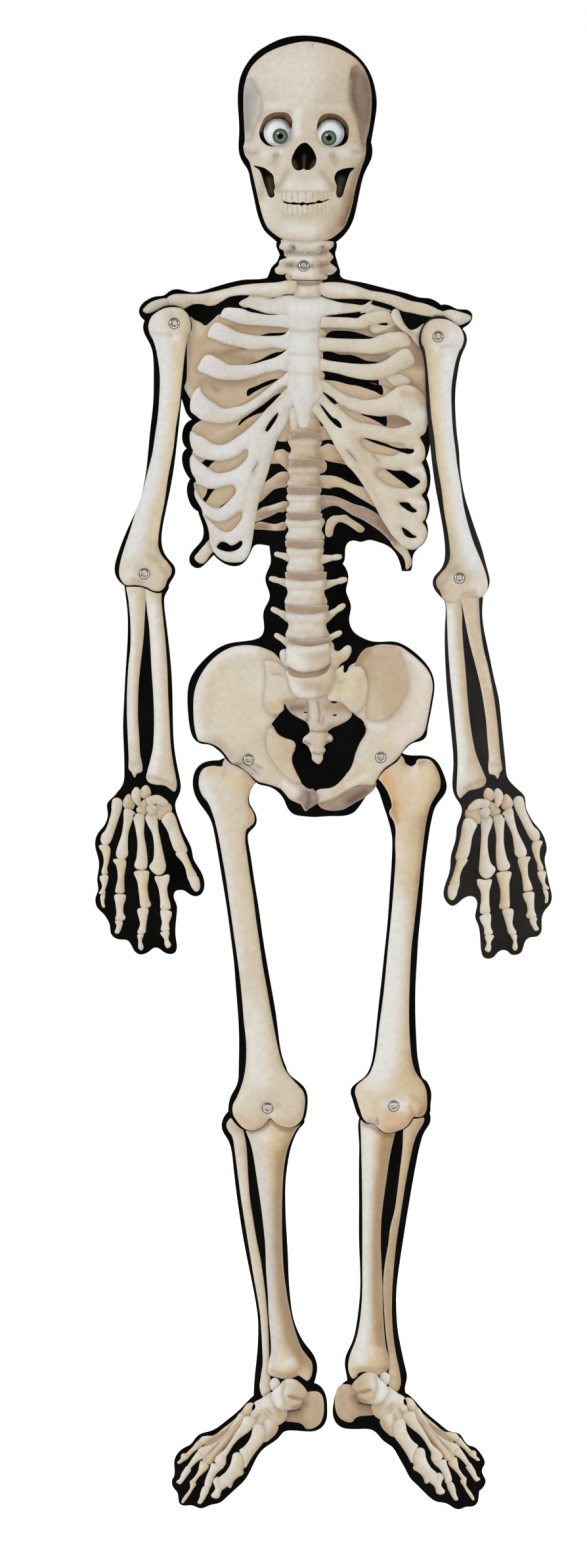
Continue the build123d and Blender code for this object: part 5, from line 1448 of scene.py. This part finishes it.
# ---------------------------------------------------------------- torso: rib cage
LOWER_LEFT_RIBS = bone(
    [(-130, 1231), (-124, 1227), (-117, 1224), (-110, 1220), (-103, 1216), (-96, 1215), (-88, 1217),
     (-80, 1222), (-70, 1229), (-60, 1237.5), (-52, 1246), (-45, 1254.5), (-36, 1263.5),
     (-28, 1272), (-20, 1280), (-12, 1281), (-8, 1272), (-9, 1262), (-12.5, 1253), (-18, 1244),
     (-24, 1233), (-31, 1221), (-35, 1209), (-38.5, 1196), (-42, 1183), (-46, 1171.5), (-50, 1160),
     (-53.5, 1145), (-56, 1130), (-58, 1118), (-59.5, 1107), (-61.5, 1097), (-64, 1089.5),
     (-68, 1084), (-73, 1081), (-81, 1080.5), (-90, 1081.5), (-98, 1086), (-103.5, 1092),
     (-106.5, 1098), (-108.5, 1105), (-109, 1112), (-110.5, 1120), (-113, 1127), (-116, 1134),
     (-118, 1142), (-122, 1149), (-125.5, 1156), (-126, 1163), (-124, 1170), (-125, 1176),
     (-129, 1183), (-131, 1192), (-131, 1200), (-127.5, 1207), (-130, 1214), (-131.5, 1223)],
    "white", side=0.7, dome=0.95,
    holes=[
        [(-45, 1232), (-41.5, 1239), (-36, 1246.5), (-30, 1252), (-32, 1245), (-37, 1237),
         (-42, 1230.5)],
        [(-128, 1206), (-122, 1202), (-116, 1199.5), (-107, 1197.5), (-95, 1197), (-85, 1199),
         (-75, 1203.5), (-69, 1209), (-65, 1209), (-65, 1202), (-70, 1195), (-77, 1189),
         (-85, 1185), (-93, 1183), (-101, 1183), (-108, 1187), (-115, 1192), (-123, 1199)],
        [(-123.5, 1170), (-117, 1168), (-110, 1165), (-102, 1165), (-93, 1167), (-85, 1169),
         (-80.5, 1167.5), (-78.5, 1162), (-82, 1156), (-90, 1148), (-97, 1143), (-105, 1143.5),
         (-112, 1148), (-119, 1155), (-123.5, 1163)],
        [(-114, 1134), (-108, 1130.5), (-103, 1128), (-96, 1127), (-89, 1129), (-82, 1133.5),
         (-76, 1138), (-71.5, 1138.5), (-72, 1131), (-77, 1123), (-84, 1116.5), (-91, 1115.5),
         (-98, 1119), (-105, 1125)],
        [(-100.5, 1098), (-95.5, 1104), (-89, 1103), (-84.5, 1100), (-79, 1101.5), (-73, 1105.5),
         (-71, 1102), (-75, 1096.5), (-83, 1093), (-92, 1093.5)],
    ],
    dabs=[((206, 188, 154), 0.6, 3.5, [(-44, 1252), (-34, 1262), (-22, 1274)]),
          ((208, 190, 158), 0.55, 3.5, [(-34, 1236), (-22, 1256)]),
          ((210, 194, 164), 0.5, 4, [(-44, 1190), (-52, 1166), (-58, 1140), (-62, 1108)]),
          (BUFF, 0.5, 3, [(-57, 1182), (-66, 1168), (-70, 1146)]),
          ((210, 196, 168), 0.4, 4, [(-126, 1214), (-112, 1202)]),
          ((210, 196, 168), 0.4, 4, [(-122, 1178), (-106, 1168)]),
          ((208, 192, 162), 0.5, 4, [(-106, 1116), (-104, 1100)]),
          ((226, 226, 226), 0.5, 6, [(-104, 1207), (-82, 1211)]),
          ((226, 226, 226), 0.5, 6, [(-108, 1174), (-84, 1177), (-66, 1186)])],
)
LOWER_RIGHT_RIBS = bone(
    [(139, 1258), (138, 1268), (130, 1278), (120, 1283), (109, 1282), (100, 1277), (92, 1271),
     (84, 1268), (70, 1266), (60, 1268), (51, 1270.5), (42, 1275), (34, 1280), (26, 1286),
     (12, 1290), (6, 1276), (8, 1262), (7.5, 1254), (11, 1251), (20, 1239), (26, 1230), (31, 1221),
     (35, 1213), (41, 1203), (48, 1192), (55, 1185), (62, 1176), (68, 1167), (74, 1157), (80, 1146),
     (86, 1134), (92, 1124), (99, 1113), (105, 1106), (112, 1099), (118, 1096), (124, 1095),
     (130, 1097.5), (135, 1102), (138.5, 1108), (140, 1115), (138, 1122), (135, 1126.5),
     (138, 1131), (140, 1140), (139, 1149), (136, 1154), (134, 1158), (138, 1163), (140, 1172),
     (139, 1181), (136.5, 1189.5), (134, 1195), (137, 1199), (138, 1206), (137, 1213),
     (134, 1219.5), (132, 1224), (136, 1227), (139, 1232), (140, 1245)],
    "cream", side=0.6, dome=0.9, gain=1.04,
    holes=[
        [(19.5, 1276.5), (27, 1272), (33, 1268), (38, 1263), (44, 1260), (50, 1256.5), (41, 1258.5),
         (33, 1262), (26, 1268.5)],
        [(39, 1258), (50, 1256), (60, 1253), (68, 1250), (77, 1248.5), (86, 1247.5), (93, 1248),
         (100, 1249), (107, 1248), (114, 1245.5), (122, 1239), (114, 1236.5), (105, 1234),
         (95, 1234.5), (85, 1237), (73, 1239), (62, 1241), (54, 1245), (46, 1251)],
        [(17.5, 1261), (21, 1259), (27, 1252), (32, 1246.5), (37, 1244), (41.5, 1239), (42, 1234),
         (37, 1236), (31, 1241.5), (26, 1247.5)],
        [(63.5, 1218), (66, 1222.5), (71, 1222.5), (80, 1220.5), (92, 1218), (103, 1217),
         (113, 1216), (118, 1211), (124.5, 1210), (124.5, 1206.5), (119, 1204.5), (110, 1206.5),
         (103, 1203), (95, 1202.5), (85, 1204), (76, 1206), (68, 1211)],
        [(82, 1179), (82, 1185), (87, 1188), (95, 1187), (104, 1185.5), (113, 1185.5),
         (122, 1180.5), (132, 1173.5), (128, 1169), (122, 1165.5), (113, 1165), (103, 1166),
         (94, 1169), (87, 1174)],
        [(108, 1148.5), (118, 1149), (123, 1144), (128.5, 1139.5), (124, 1137.5), (116, 1141)],
        [(111, 1120.5), (117, 1118), (123, 1113), (128.5, 1109.5), (121, 1108.5), (114.5, 1112)],
    ],
    dabs=[((216, 212, 204), 0.95, 7, [(118, 1249), (127, 1249), (133, 1249)]),
          ((222, 218, 210), 0.9, 4, [(122, 1185), (131, 1187), (136, 1181)]),
          ((222, 218, 210), 0.8, 3.5, [(120, 1152), (130, 1149), (136, 1149)]),
          ((222, 218, 210), 0.7, 2.5, [(112, 1143), (120, 1138)]),
          ((214, 206, 192), 0.7, 3.5, [(124, 1120), (132, 1116)]),
          ((190, 164, 126), 0.6, 5, [(112, 1274), (126, 1272)]),
          ((176, 148, 114), 0.6, 4, [(130, 1276), (134, 1262)]),
          ((196, 172, 134), 0.4, 4, [(60, 1190), (74, 1170), (90, 1140)]),
          ((196, 174, 138), 0.45, 5, [(52, 1225), (64, 1212), (72, 1196)]),
          ((206, 184, 148), 0.45, 4, [(96, 1226), (122, 1222)]),
          ((220, 212, 194), 0.6, 6, [(28, 1252), (40, 1232), (50, 1212)]),
          ((220, 212, 194), 0.5, 6, [(84, 1262), (100, 1262)])],
)
printed("torso", "lower_ribs", 4, LOWER_LEFT_RIBS, LOWER_RIGHT_RIBS)
UPPER_LEFT = [  # top edge, then bottom edge, from the outer end in
    ([(-97, 1361), (-93, 1370), (-87, 1372), (-79, 1371.5), (-71, 1370.5), (-62, 1367),
      (-54, 1365.5), (-45, 1364), (-36, 1363.5), (-26, 1365), (-15, 1366)],
     [(-95, 1360.5), (-88, 1358.5), (-80, 1355.5), (-72, 1353), (-60, 1352), (-45, 1351),
      (-30, 1350), (-15, 1349.5)]),
    ([(-111, 1341), (-108, 1349), (-103.5, 1354), (-98, 1355), (-90, 1351), (-82, 1347),
      (-73, 1343), (-60, 1340.5), (-48, 1339.5), (-35, 1339.5), (-25, 1340.5), (-20, 1344),
      (-15, 1350)],
     [(-110, 1338), (-103, 1335.5), (-92, 1331), (-80, 1328), (-70, 1326), (-61, 1324), (-50, 1324),
      (-35, 1326), (-15, 1325)]),
    ([(-122.5, 1303), (-118, 1312), (-114, 1317), (-108, 1318), (-100, 1314.5), (-92, 1310),
      (-86, 1306.5), (-75, 1306), (-66, 1306.5), (-55, 1308.5), (-45, 1311.5), (-35, 1314.5),
      (-27, 1318.5), (-15, 1325)],
     [(-121.5, 1299.5), (-113, 1296), (-103, 1291.5), (-95, 1289.5), (-85, 1289), (-75, 1289),
      (-67, 1290.5), (-57, 1293), (-47, 1296.5), (-37, 1298.5), (-28, 1300.5), (-15, 1300)]),
    ([(-131, 1259), (-130.5, 1266), (-128, 1273), (-124, 1279), (-119, 1281), (-118, 1276),
      (-112, 1269.5), (-103, 1263), (-95, 1257.5), (-89, 1256.5), (-80, 1258.5), (-73, 1259.5),
      (-65, 1263), (-57, 1268), (-49, 1274), (-41, 1280.5), (-34, 1286), (-27, 1291.5),
      (-15, 1300)],
     [(-130, 1253), (-124, 1248), (-118, 1243.5), (-108, 1241), (-97, 1239.5), (-88, 1240),
      (-78, 1243), (-70, 1248), (-60, 1254.5), (-50, 1262), (-40, 1270), (-32, 1277), (-25, 1281.5),
      (-15, 1284)]),
]
UPPER_RIGHT = [  # the same, for the other side
    ([(104, 1358), (100, 1364), (93, 1368), (85, 1368), (75, 1366), (66, 1363.5), (60, 1360),
      (50, 1360.5), (36, 1361), (12, 1361)],
     [(103.5, 1355), (98, 1354), (91, 1354.5), (83, 1353), (75, 1351), (69, 1348.5), (60, 1347.5),
      (45, 1348.5), (30, 1349), (12, 1350)]),
    ([(121, 1334), (118, 1340), (113, 1343.5), (105, 1344), (95, 1343), (85, 1340), (76, 1336.5),
      (60, 1336), (40, 1336.5), (12, 1337)],
     [(121, 1329), (115, 1327), (105, 1325.5), (95, 1322), (85, 1319.5), (75, 1319), (60, 1320),
      (45, 1321), (30, 1322), (12, 1324)]),
    ([(125.5, 1313), (122, 1321), (117, 1325), (110, 1323.5), (103, 1319), (95, 1313.5), (86, 1309),
      (75, 1307.5), (60, 1307.5), (45, 1309), (30, 1311), (12, 1314)],
     [(125.5, 1308.5), (120, 1304.5), (110, 1300), (100, 1295), (90, 1291), (80, 1289), (65, 1290),
      (50, 1293), (38, 1296.5), (25, 1299), (12, 1301)]),
]
printed("torso", "left_upper_ribs", 5, *(
    bone(top + low[::-1], "white", dome=0.85,
         dabs=[((226, 222, 214), 0.6, 9, [top[3]]), ((208, 190, 160), 0.4, 9, [low[3], low[5]])])
    for top, low in UPPER_LEFT))
printed("torso", "right_upper_ribs", 5, *(
    bone(top + low[::-1], "cream", side=0.4, dome=0.85, gain=1.05,
         dabs=[((206, 182, 146), 0.45, 9, [low[1], low[3]])])
    for top, low in UPPER_RIGHT))

STERNUM = bone(
    [(-73, 1377), (-62, 1383.5), (-48, 1384), (-38, 1382), (-28, 1385), (-14, 1386), (0, 1383.5),
     (16, 1385), (26, 1382), (40, 1378), (55, 1376), (67, 1375), (77, 1380.5), (74, 1373),
     (66, 1368), (52, 1366), (35, 1364), (21, 1361), (18, 1350), (16.5, 1330), (18, 1310),
     (18, 1290), (22, 1279), (17, 1267), (10, 1258), (7, 1251), (6.5, 1243), (4, 1236),
     (-1, 1233.5), (-6, 1236), (-9, 1246), (-10, 1254), (-13, 1262), (-16, 1271), (-20, 1282),
     (-18.5, 1300), (-19, 1320), (-17.5, 1340), (-18, 1352), (-20, 1363), (-30, 1364.5),
     (-42, 1365), (-55, 1369), (-66, 1373)],
    "white", side=0.7, dome=0.55, rim=0.15, casts=False,
    dabs=[((229, 228, 224), 0.7, 9, [(-10, 1372), (8, 1372)]),
          ((229, 228, 224), 0.6, 8, [(-4, 1340), (-2, 1290)]),
          (SHADOW, 0.35, 3, [(-14, 1346), (0, 1344), (14, 1347)]),
          (SHADOW, 0.22, 2.5, [(-16, 1319), (14, 1318)]),
          (SHADOW, 0.22, 2.5, [(-16, 1297), (14, 1296)]),
          ((206, 194, 172), 0.6, 6, [(-52, 1376), (-68, 1378)]),
          ((206, 188, 160), 0.6, 6, [(46, 1372), (68, 1374)]),
          ((190, 168, 136), 0.5, 4, [(12, 1300), (12, 1276)])],
)
XIPHOID = bone(
    [(-16, 1256), (-8, 1258), (-5, 1248), (-7, 1237), (-11, 1231), (-15, 1234), (-17, 1244)],
    "cream", dome=0.85, gain=0.9)
printed("torso", "xiphoid", 6, XIPHOID)
printed("torso", "breastbone", 7, STERNUM)
printed("torso", "rib_cracks", 6,
        line([(-60, 1183), (-57, 1189), (-53, 1196)], 0.5),
        line([(48, 1209), (54, 1203), (60, 1196)], 0.45),
        line([(78, 1203), (84, 1197)], 0.4), line([(-104, 1281), (-100, 1277)], 0.3))

# ---------------------------------------------------------------- torso: collar bones
printed(
    "torso", "coracoid", 6,
    bone([(99, 1366), (103, 1370.5), (107.5, 1369), (110.5, 1361), (115, 1352), (121, 1346.5),
          (128, 1348), (137, 1353), (137, 1336), (131, 1327), (126, 1333), (120, 1340),
          (112, 1345.5), (105, 1352), (101, 1358)], "cream", dome=0.8,
         dabs=[(SHADOW, 0.4, 4, [(130, 1338), (120, 1344)])]),
)
printed(
    "torso", "collar_bones", 9,
    bone([(-10, 1402), (-20, 1403), (-30, 1401), (-45, 1400), (-60, 1399), (-75, 1397),
          (-90, 1393.5), (-105, 1390), (-120, 1387.5), (-135, 1387.5), (-146, 1387.5), (-153, 1386),
          (-159, 1381), (-158, 1376), (-150, 1373), (-142, 1370), (-137, 1371), (-128, 1375.5),
          (-118, 1376), (-110, 1374), (-102, 1375), (-95, 1379), (-86, 1384), (-75, 1386),
          (-62, 1386), (-50, 1385), (-40, 1383), (-30, 1384.5), (-22, 1387), (-14, 1387.5),
          (-9, 1392)],
         "cream", side=0.4, dabs=[(GLOW, 0.6, 4, [(-24, 1396), (-60, 1394), (-100, 1386)]),
                                  (SHADOW, 0.3, 3, [(-112, 1380), (-134, 1378)])]),
    bone([(-155, 1381), (-160, 1382.5), (-168, 1381), (-176, 1378), (-182, 1373), (-185, 1368.5),
          (-181, 1365.5), (-176, 1366), (-171, 1368), (-164, 1371), (-156, 1375)],
         "cream", side=0.4),
    bone([(17, 1399), (22, 1400.5), (35, 1401), (48, 1399.5), (60, 1396.5), (75, 1391.5),
          (90, 1389), (105, 1385.5), (120, 1380), (135, 1377), (146, 1373), (153, 1369.5),
          (158, 1367.5), (160, 1364), (156, 1361), (148, 1361), (135, 1363), (122, 1366),
          (112, 1368), (100, 1374), (88, 1378), (75, 1381), (60, 1382), (45, 1382), (35, 1382),
          (28, 1383), (20, 1386), (16, 1392)],
         "cream", side=0.4, dabs=[(GLOW, 0.6, 4, [(26, 1394), (56, 1390)]),
                                  ((206, 182, 146), 0.4, 6, [(110, 1376), (140, 1368)])]),
    bone([(156, 1366), (161, 1368.5), (168, 1369.5), (178, 1367), (188, 1363.5), (190.5, 1360.5),
          (188, 1356.5), (180, 1352.5), (175, 1352), (168, 1357), (161, 1361)], "cream", side=0.4,
         dabs=[(GLOW, 0.5, 5, [(172, 1362)])]),
)
printed(
    "torso", "neck_base", 8,
    bone([(-14, 1398), (-12, 1404), (0, 1403), (10, 1403), (19, 1404.5), (20, 1398), (12, 1396),
          (-6, 1396)], "disc", dome=0.5),
    bone([(-15, 1397), (-11, 1398), (4, 1396.5), (18, 1398), (21, 1395), (18, 1385), (10, 1383),
          (-4, 1383), (-12, 1386)], "cream", dome=0.75,
         dabs=[(GLOW, 0.6, 5, [(-2, 1391)])]),
)

# ---------------------------------------------------------------- print inside the eyelets' rings
CENTRES = {  # the card that each eyelet rides on, and the print's tone there
    "neck": ("head", "brown"), "left_shoulder": ("left_upper_arm", "cream"),
    "right_shoulder": ("right_upper_arm", "warm"), "left_elbow": ("left_upper_arm", "cream"),
    "right_elbow": ("right_upper_arm", "warm"), "left_hip": ("torso", "sacrum"),
    "right_hip": ("torso", "sacrum"), "left_knee": ("left_thigh", "sacrum"),
    "right_knee": ("right_thigh", "sacrum"),
}
# each disc's dome darkens it towards the ring round it: painted shade inside the ring
for name, (card, tone) in CENTRES.items():
    x, z = EYELETS[name]
    printed(card, name + "_eyelet_centre", 0,
            bone(circle(x, z, CENTRE_R, 12), tone, side=-1, dome=0.7, fill=1.0, rim=0))

# ---------------------------------------------------------------- materials
MOST = (0.3, 0.7)          # most values of a noise lie between these
SPECULAR = 0.03            # the ink hardly mirrors anything


def new_material(name):
    """A material with a Principled shader, and helpers to add and join its nodes."""
    made = bpy.data.materials.new(name)
    made.use_nodes = True
    tree = made.node_tree
    shader = tree.nodes["Principled BSDF"]

    def node(kind, inputs=(), **settings):
        n = tree.nodes.new(kind)
        for key, value in settings.items():
            setattr(n, key, value)
        for key, value in dict(inputs).items():
            if isinstance(value, bpy.types.NodeSocket):
                tree.links.new(value, n.inputs[key])
            else:
                n.inputs[key].default_value = value
        return n

    def join(output, name_in):
        tree.links.new(output, shader.inputs[name_in])

    return made, shader, node, join


def rgba(rgb):
    """A node's colour from an sRGB colour given as 0 to 255."""
    return (*srgb(rgb), 1.0)


def noise(node, where, size, detail=3.0, stretch=(1, 1, 1)):
    """Noise with blotches of about the given size in millimetres, 0 to 1."""
    scaled = node("ShaderNodeMapping", {"Vector": where, "Scale": stretch})
    return node("ShaderNodeTexNoise", {"Vector": scaled.outputs[0], "Scale": 1 / (size * MM),
                                       "Detail": detail}).outputs["Fac"]


def between(node, value, low, high, to_low=0.0, to_high=1.0):
    """The value's place from low to high, as a number from to_low to to_high."""
    return node("ShaderNodeMapRange", {"Value": value, "From Min": low, "From Max": high,
                                       "To Min": to_low, "To Max": to_high}).outputs["Result"]


def mixed(node, factor, a, b, blend="MIX"):
    """Colour a where the factor is 0 and b where it is 1."""
    mix = node("ShaderNodeMix", data_type="RGBA", blend_type=blend)
    tree = mix.id_data
    for index, value in ((0, factor), (6, a), (7, b)):     # 6 and 7 are the two colours
        if isinstance(value, bpy.types.NodeSocket):
            tree.links.new(value, mix.inputs[index])
        else:
            mix.inputs[index].default_value = value
    return mix.outputs[2]      # the result as a colour


def print_material():
    """Printed bone: the ink's colours with a fine grain, under a thin satin varnish."""
    made, shader, node, join = new_material("bone_print")
    where = node("ShaderNodeTexCoord").outputs["Object"]
    ink = node("ShaderNodeAttribute", attribute_name="ink",
               attribute_type="GEOMETRY").outputs["Color"]
    coarse = between(node, noise(node, where, 6.0, 4.0), *MOST, 0.94, 1.05)
    grain = between(node, noise(node, where, 0.7, 2.0), *MOST, 0.965, 1.03)
    both = node("ShaderNodeMath", {0: coarse, 1: grain}, operation="MULTIPLY").outputs[0]
    grey = node("ShaderNodeCombineColor", {"Red": both, "Green": both, "Blue": both}).outputs[0]
    join(mixed(node, 1.0, ink, grey, "MULTIPLY"), "Base Color")
    join(between(node, noise(node, where, 22.0), *MOST, 0.40, 0.52), "Roughness")
    bump = node("ShaderNodeBump", {"Height": noise(node, where, 0.5, 3.0), "Strength": 0.05,
                                   "Distance": 0.0002})
    join(bump.outputs[0], "Normal")
    shader.inputs["Specular IOR Level"].default_value = SPECULAR
    shader.inputs["Coat Weight"].default_value = 0.01
    shader.inputs["Coat Roughness"].default_value = 0.25
    return made


def board_material(name, dark, light):
    """A die-cut card: black printed face, cut edge with layers, plain grey board behind."""
    made, shader, node, join = new_material(name)
    place = node("ShaderNodeTexCoord")
    where, facing = place.outputs["Object"], place.outputs["Normal"]
    toward = node("ShaderNodeSeparateXYZ", {0: facing}).outputs["Y"]
    is_front = between(node, toward, -0.6, -0.5, 1.0, 0.0)
    is_back = between(node, toward, 0.5, 0.6)
    cloud = noise(node, where, 60.0, 4.0)
    black = mixed(node, between(node, cloud, *MOST), rgba(dark), rgba(light))
    dust = between(node, noise(node, where, 1.1, 1.0), 0.72, 0.78, 0.0, 0.25)
    black = mixed(node, dust, black, rgba((40, 39, 37)))
    layers = noise(node, where, 1.6, 3.0, (1, 8, 1))
    edge = mixed(node, between(node, layers, 0.35, 0.65), rgba((24, 22, 20)), rgba((92, 84, 72)))
    fibres = noise(node, where, 1.4, 5.0, (1, 1, 3))
    specks = between(node, noise(node, where, 0.9, 1.0), 0.66, 0.74)
    back = mixed(node, between(node, fibres, *MOST), rgba((164, 156, 142)),
                 rgba((190, 183, 170)))
    back = mixed(node, between(node, cloud, *MOST, 0.0, 0.35), back, rgba((150, 141, 127)))
    back = mixed(node, specks, back, rgba((132, 122, 108)))
    colour = mixed(node, is_back, mixed(node, is_front, edge, black), back)
    join(colour, "Base Color")
    gloss = between(node, noise(node, where, 28.0), *MOST, 0.36, 0.5)
    rough = node("ShaderNodeMapRange", {"Value": is_front, "To Min": 0.85, "To Max": gloss})
    join(rough.outputs[0], "Roughness")
    weight = between(node, is_front, 0.0, 1.0, 0.35, 0.08)
    bump = node("ShaderNodeBump", {"Height": fibres, "Strength": weight, "Distance": 0.0003})
    join(bump.outputs[0], "Normal")
    shader.inputs["Specular IOR Level"].default_value = SPECULAR
    return made


def eyelet_material():
    """Nickel-plated metal: fine scratches, small dull stains and a soft brushed gloss."""
    made, shader, node, join = new_material("eyelet_nickel")
    where = node("ShaderNodeTexCoord").outputs["Object"]
    scratches = noise(node, where, 0.35, 4.0, (1, 1, 6))
    stains = between(node, noise(node, where, 2.5, 4.0), 0.45, 0.7)
    metal = mixed(node, stains, rgba((206, 203, 197)), rgba((158, 152, 142)))
    facing = node("ShaderNodeTexCoord").outputs["Normal"]
    toward = node("ShaderNodeSeparateXYZ", {0: facing}).outputs["Y"]
    # painted shade and some tarnish: the metal is painted darker where its surface turns away from
    # the front
    painted_shade_and_tarnish = between(node, toward, -0.93, -0.7)
    join(mixed(node, painted_shade_and_tarnish, metal, rgba((58, 54, 48))), "Base Color")
    join(between(node, scratches, *MOST, 0.2, 0.42), "Roughness")
    bump = node("ShaderNodeBump", {"Height": scratches, "Strength": 0.15, "Distance": 0.00005})
    join(bump.outputs[0], "Normal")
    shader.inputs["Metallic"].default_value = 1.0
    return made


# painted sheen: the black of these cards is painted lighter, standing in for light caught by their
# coating
PAINTED_SHEEN_CARDS = ("right_forearm_card", "right_upper_arm_card")   # their black catches the light


def paint_node(name, material):
    """Gives a CAD node one material all over."""
    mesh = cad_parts[name].data
    if not mesh.materials:
        mesh.materials.append(material)
    for k in range(len(mesh.materials)):
        mesh.materials[k] = material


PRINT, NICKEL = print_material(), eyelet_material()
BOARD = board_material("die_cut_card", (3, 3, 3), (13, 12, 11))
# the same card with its black painted lighter: a painted sheen, used on the right arm's cards
PAINTED_SHEEN_BOARD = board_material("die_cut_card_with_painted_sheen", (30, 28, 27), (44, 42, 40))
for node_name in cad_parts:
    board = PAINTED_SHEEN_BOARD if node_name in PAINTED_SHEEN_CARDS else BOARD
    paint_node(node_name, board if node_name.endswith("_card") else NICKEL)
make_prints()

# ---------------------------------------------------------------- stage, light and camera
LOW, HIGH = CAD_BOX
MIDDLE = (LOW + HIGH) / 2
FLOOR_Z = LOW.z - 0.02     # the figure hangs a little clear of the floor
FLOOR_RADIUS, FLOOR_SIDES = 9.0, 96
FLOOR_GLOW = 0.72          # keeps the floor as white as the air round it


def floor():
    """A pale round studio floor."""
    rim = [(MIDDLE.x + FLOOR_RADIUS * math.cos(a), FLOOR_RADIUS * math.sin(a), FLOOR_Z)
           for a in np.linspace(0, math.tau, FLOOR_SIDES, endpoint=False)]
    mesh = bpy.data.meshes.new("studio_floor")
    mesh.from_pydata(rim, [], [tuple(range(len(rim)))])
    made, shader, node, join = new_material("studio_floor_paint")
    where = node("ShaderNodeTexCoord").outputs["Object"]
    tint = between(node, noise(node, where, 400.0), *MOST)
    join(mixed(node, tint, rgba((247, 247, 246)), rgba((250, 250, 249))), "Base Color")
    shader.inputs["Roughness"].default_value = 0.9
    shader.inputs["Emission Color"].default_value = (1, 1, 1, 1)
    shader.inputs["Emission Strength"].default_value = FLOOR_GLOW
    mesh.materials.append(made)
    sheet = bpy.data.objects.new("studio_floor", mesh)
    bpy.context.scene.collection.objects.link(sheet)


def soft_light(name, place, size, watts):
    """A square soft box aimed at the figure's middle."""
    data = bpy.data.lights.new(name, "AREA")
    data.shape, data.size, data.energy = "SQUARE", size, watts
    light = bpy.data.objects.new(name, data)
    light.location = place
    light.rotation_euler = (MIDDLE - Vector(place)).to_track_quat("-Z", "Y").to_euler()
    bpy.context.scene.collection.objects.link(light)


def studio_air():
    """White all round to the eye. Its light is weaker in front, so that gloss stays dark."""
    world = bpy.data.worlds.new("studio_air")
    bpy.context.scene.world = world
    world.use_nodes = True
    tree = world.node_tree
    white = tree.nodes["Background"]
    white.inputs["Color"].default_value = (1, 1, 1, 1)
    light = tree.nodes.new("ShaderNodeBackground")
    way = tree.nodes.new("ShaderNodeTexCoord")
    split = tree.nodes.new("ShaderNodeSeparateXYZ")
    fall = tree.nodes.new("ShaderNodeMapRange")
    # from straight in front (Y is -1) towards the sides, the light grows from 0.06 to 0.5
    for key, value in {"From Min": -1.0, "From Max": -0.55, "To Min": 0.06, "To Max": 0.5}.items():
        fall.inputs[key].default_value = value
    seen = tree.nodes.new("ShaderNodeLightPath")
    choose = tree.nodes.new("ShaderNodeMixShader")
    tree.links.new(way.outputs["Generated"], split.inputs[0])
    tree.links.new(split.outputs["Y"], fall.inputs["Value"])
    tree.links.new(fall.outputs["Result"], light.inputs["Strength"])
    tree.links.new(seen.outputs["Is Camera Ray"], choose.inputs[0])
    tree.links.new(light.outputs[0], choose.inputs[1])
    tree.links.new(white.outputs[0], choose.inputs[2])
    tree.links.new(choose.outputs[0], tree.nodes["World Output"].inputs["Surface"])


floor()
studio_air()
for light_name, place, size, watts in [
    ("key_light", (-4.4, -3.8, 1.2), 2.0, 96),
    ("fill_light", (4.4, -3.8, 0.8), 2.0, 62),
    ("back_light", (1.5, 5.0, 2.0), 3.0, 120),
]:
    soft_light(light_name, place, size, watts)
bpy.context.scene.view_settings.view_transform = "Standard"

# The view is level and square to the figure, from 6 m in front.
VIEW_DISTANCE = 6.0
VIEW_HEIGHT = 1.791        # what the frame shows at the figure, in metres
VIEW_X, VIEW_Z = -0.02425, -0.84375    # the photograph's middle
SENSOR = 36.0              # height of the camera's sensor, in mm
camera_data = bpy.data.cameras.new("front_view")
camera_data.sensor_fit = "VERTICAL"
camera_data.sensor_height = SENSOR
camera_data.lens = SENSOR * VIEW_DISTANCE / VIEW_HEIGHT
camera_data.clip_end = 60.0
camera = bpy.data.objects.new("front_view", camera_data)
camera.location = (VIEW_X, LOW.y - VIEW_DISTANCE, VIEW_Z)
camera.rotation_euler = (math.pi / 2, 0, 0)
bpy.context.scene.collection.objects.link(camera)
bpy.context.scene.camera = camera
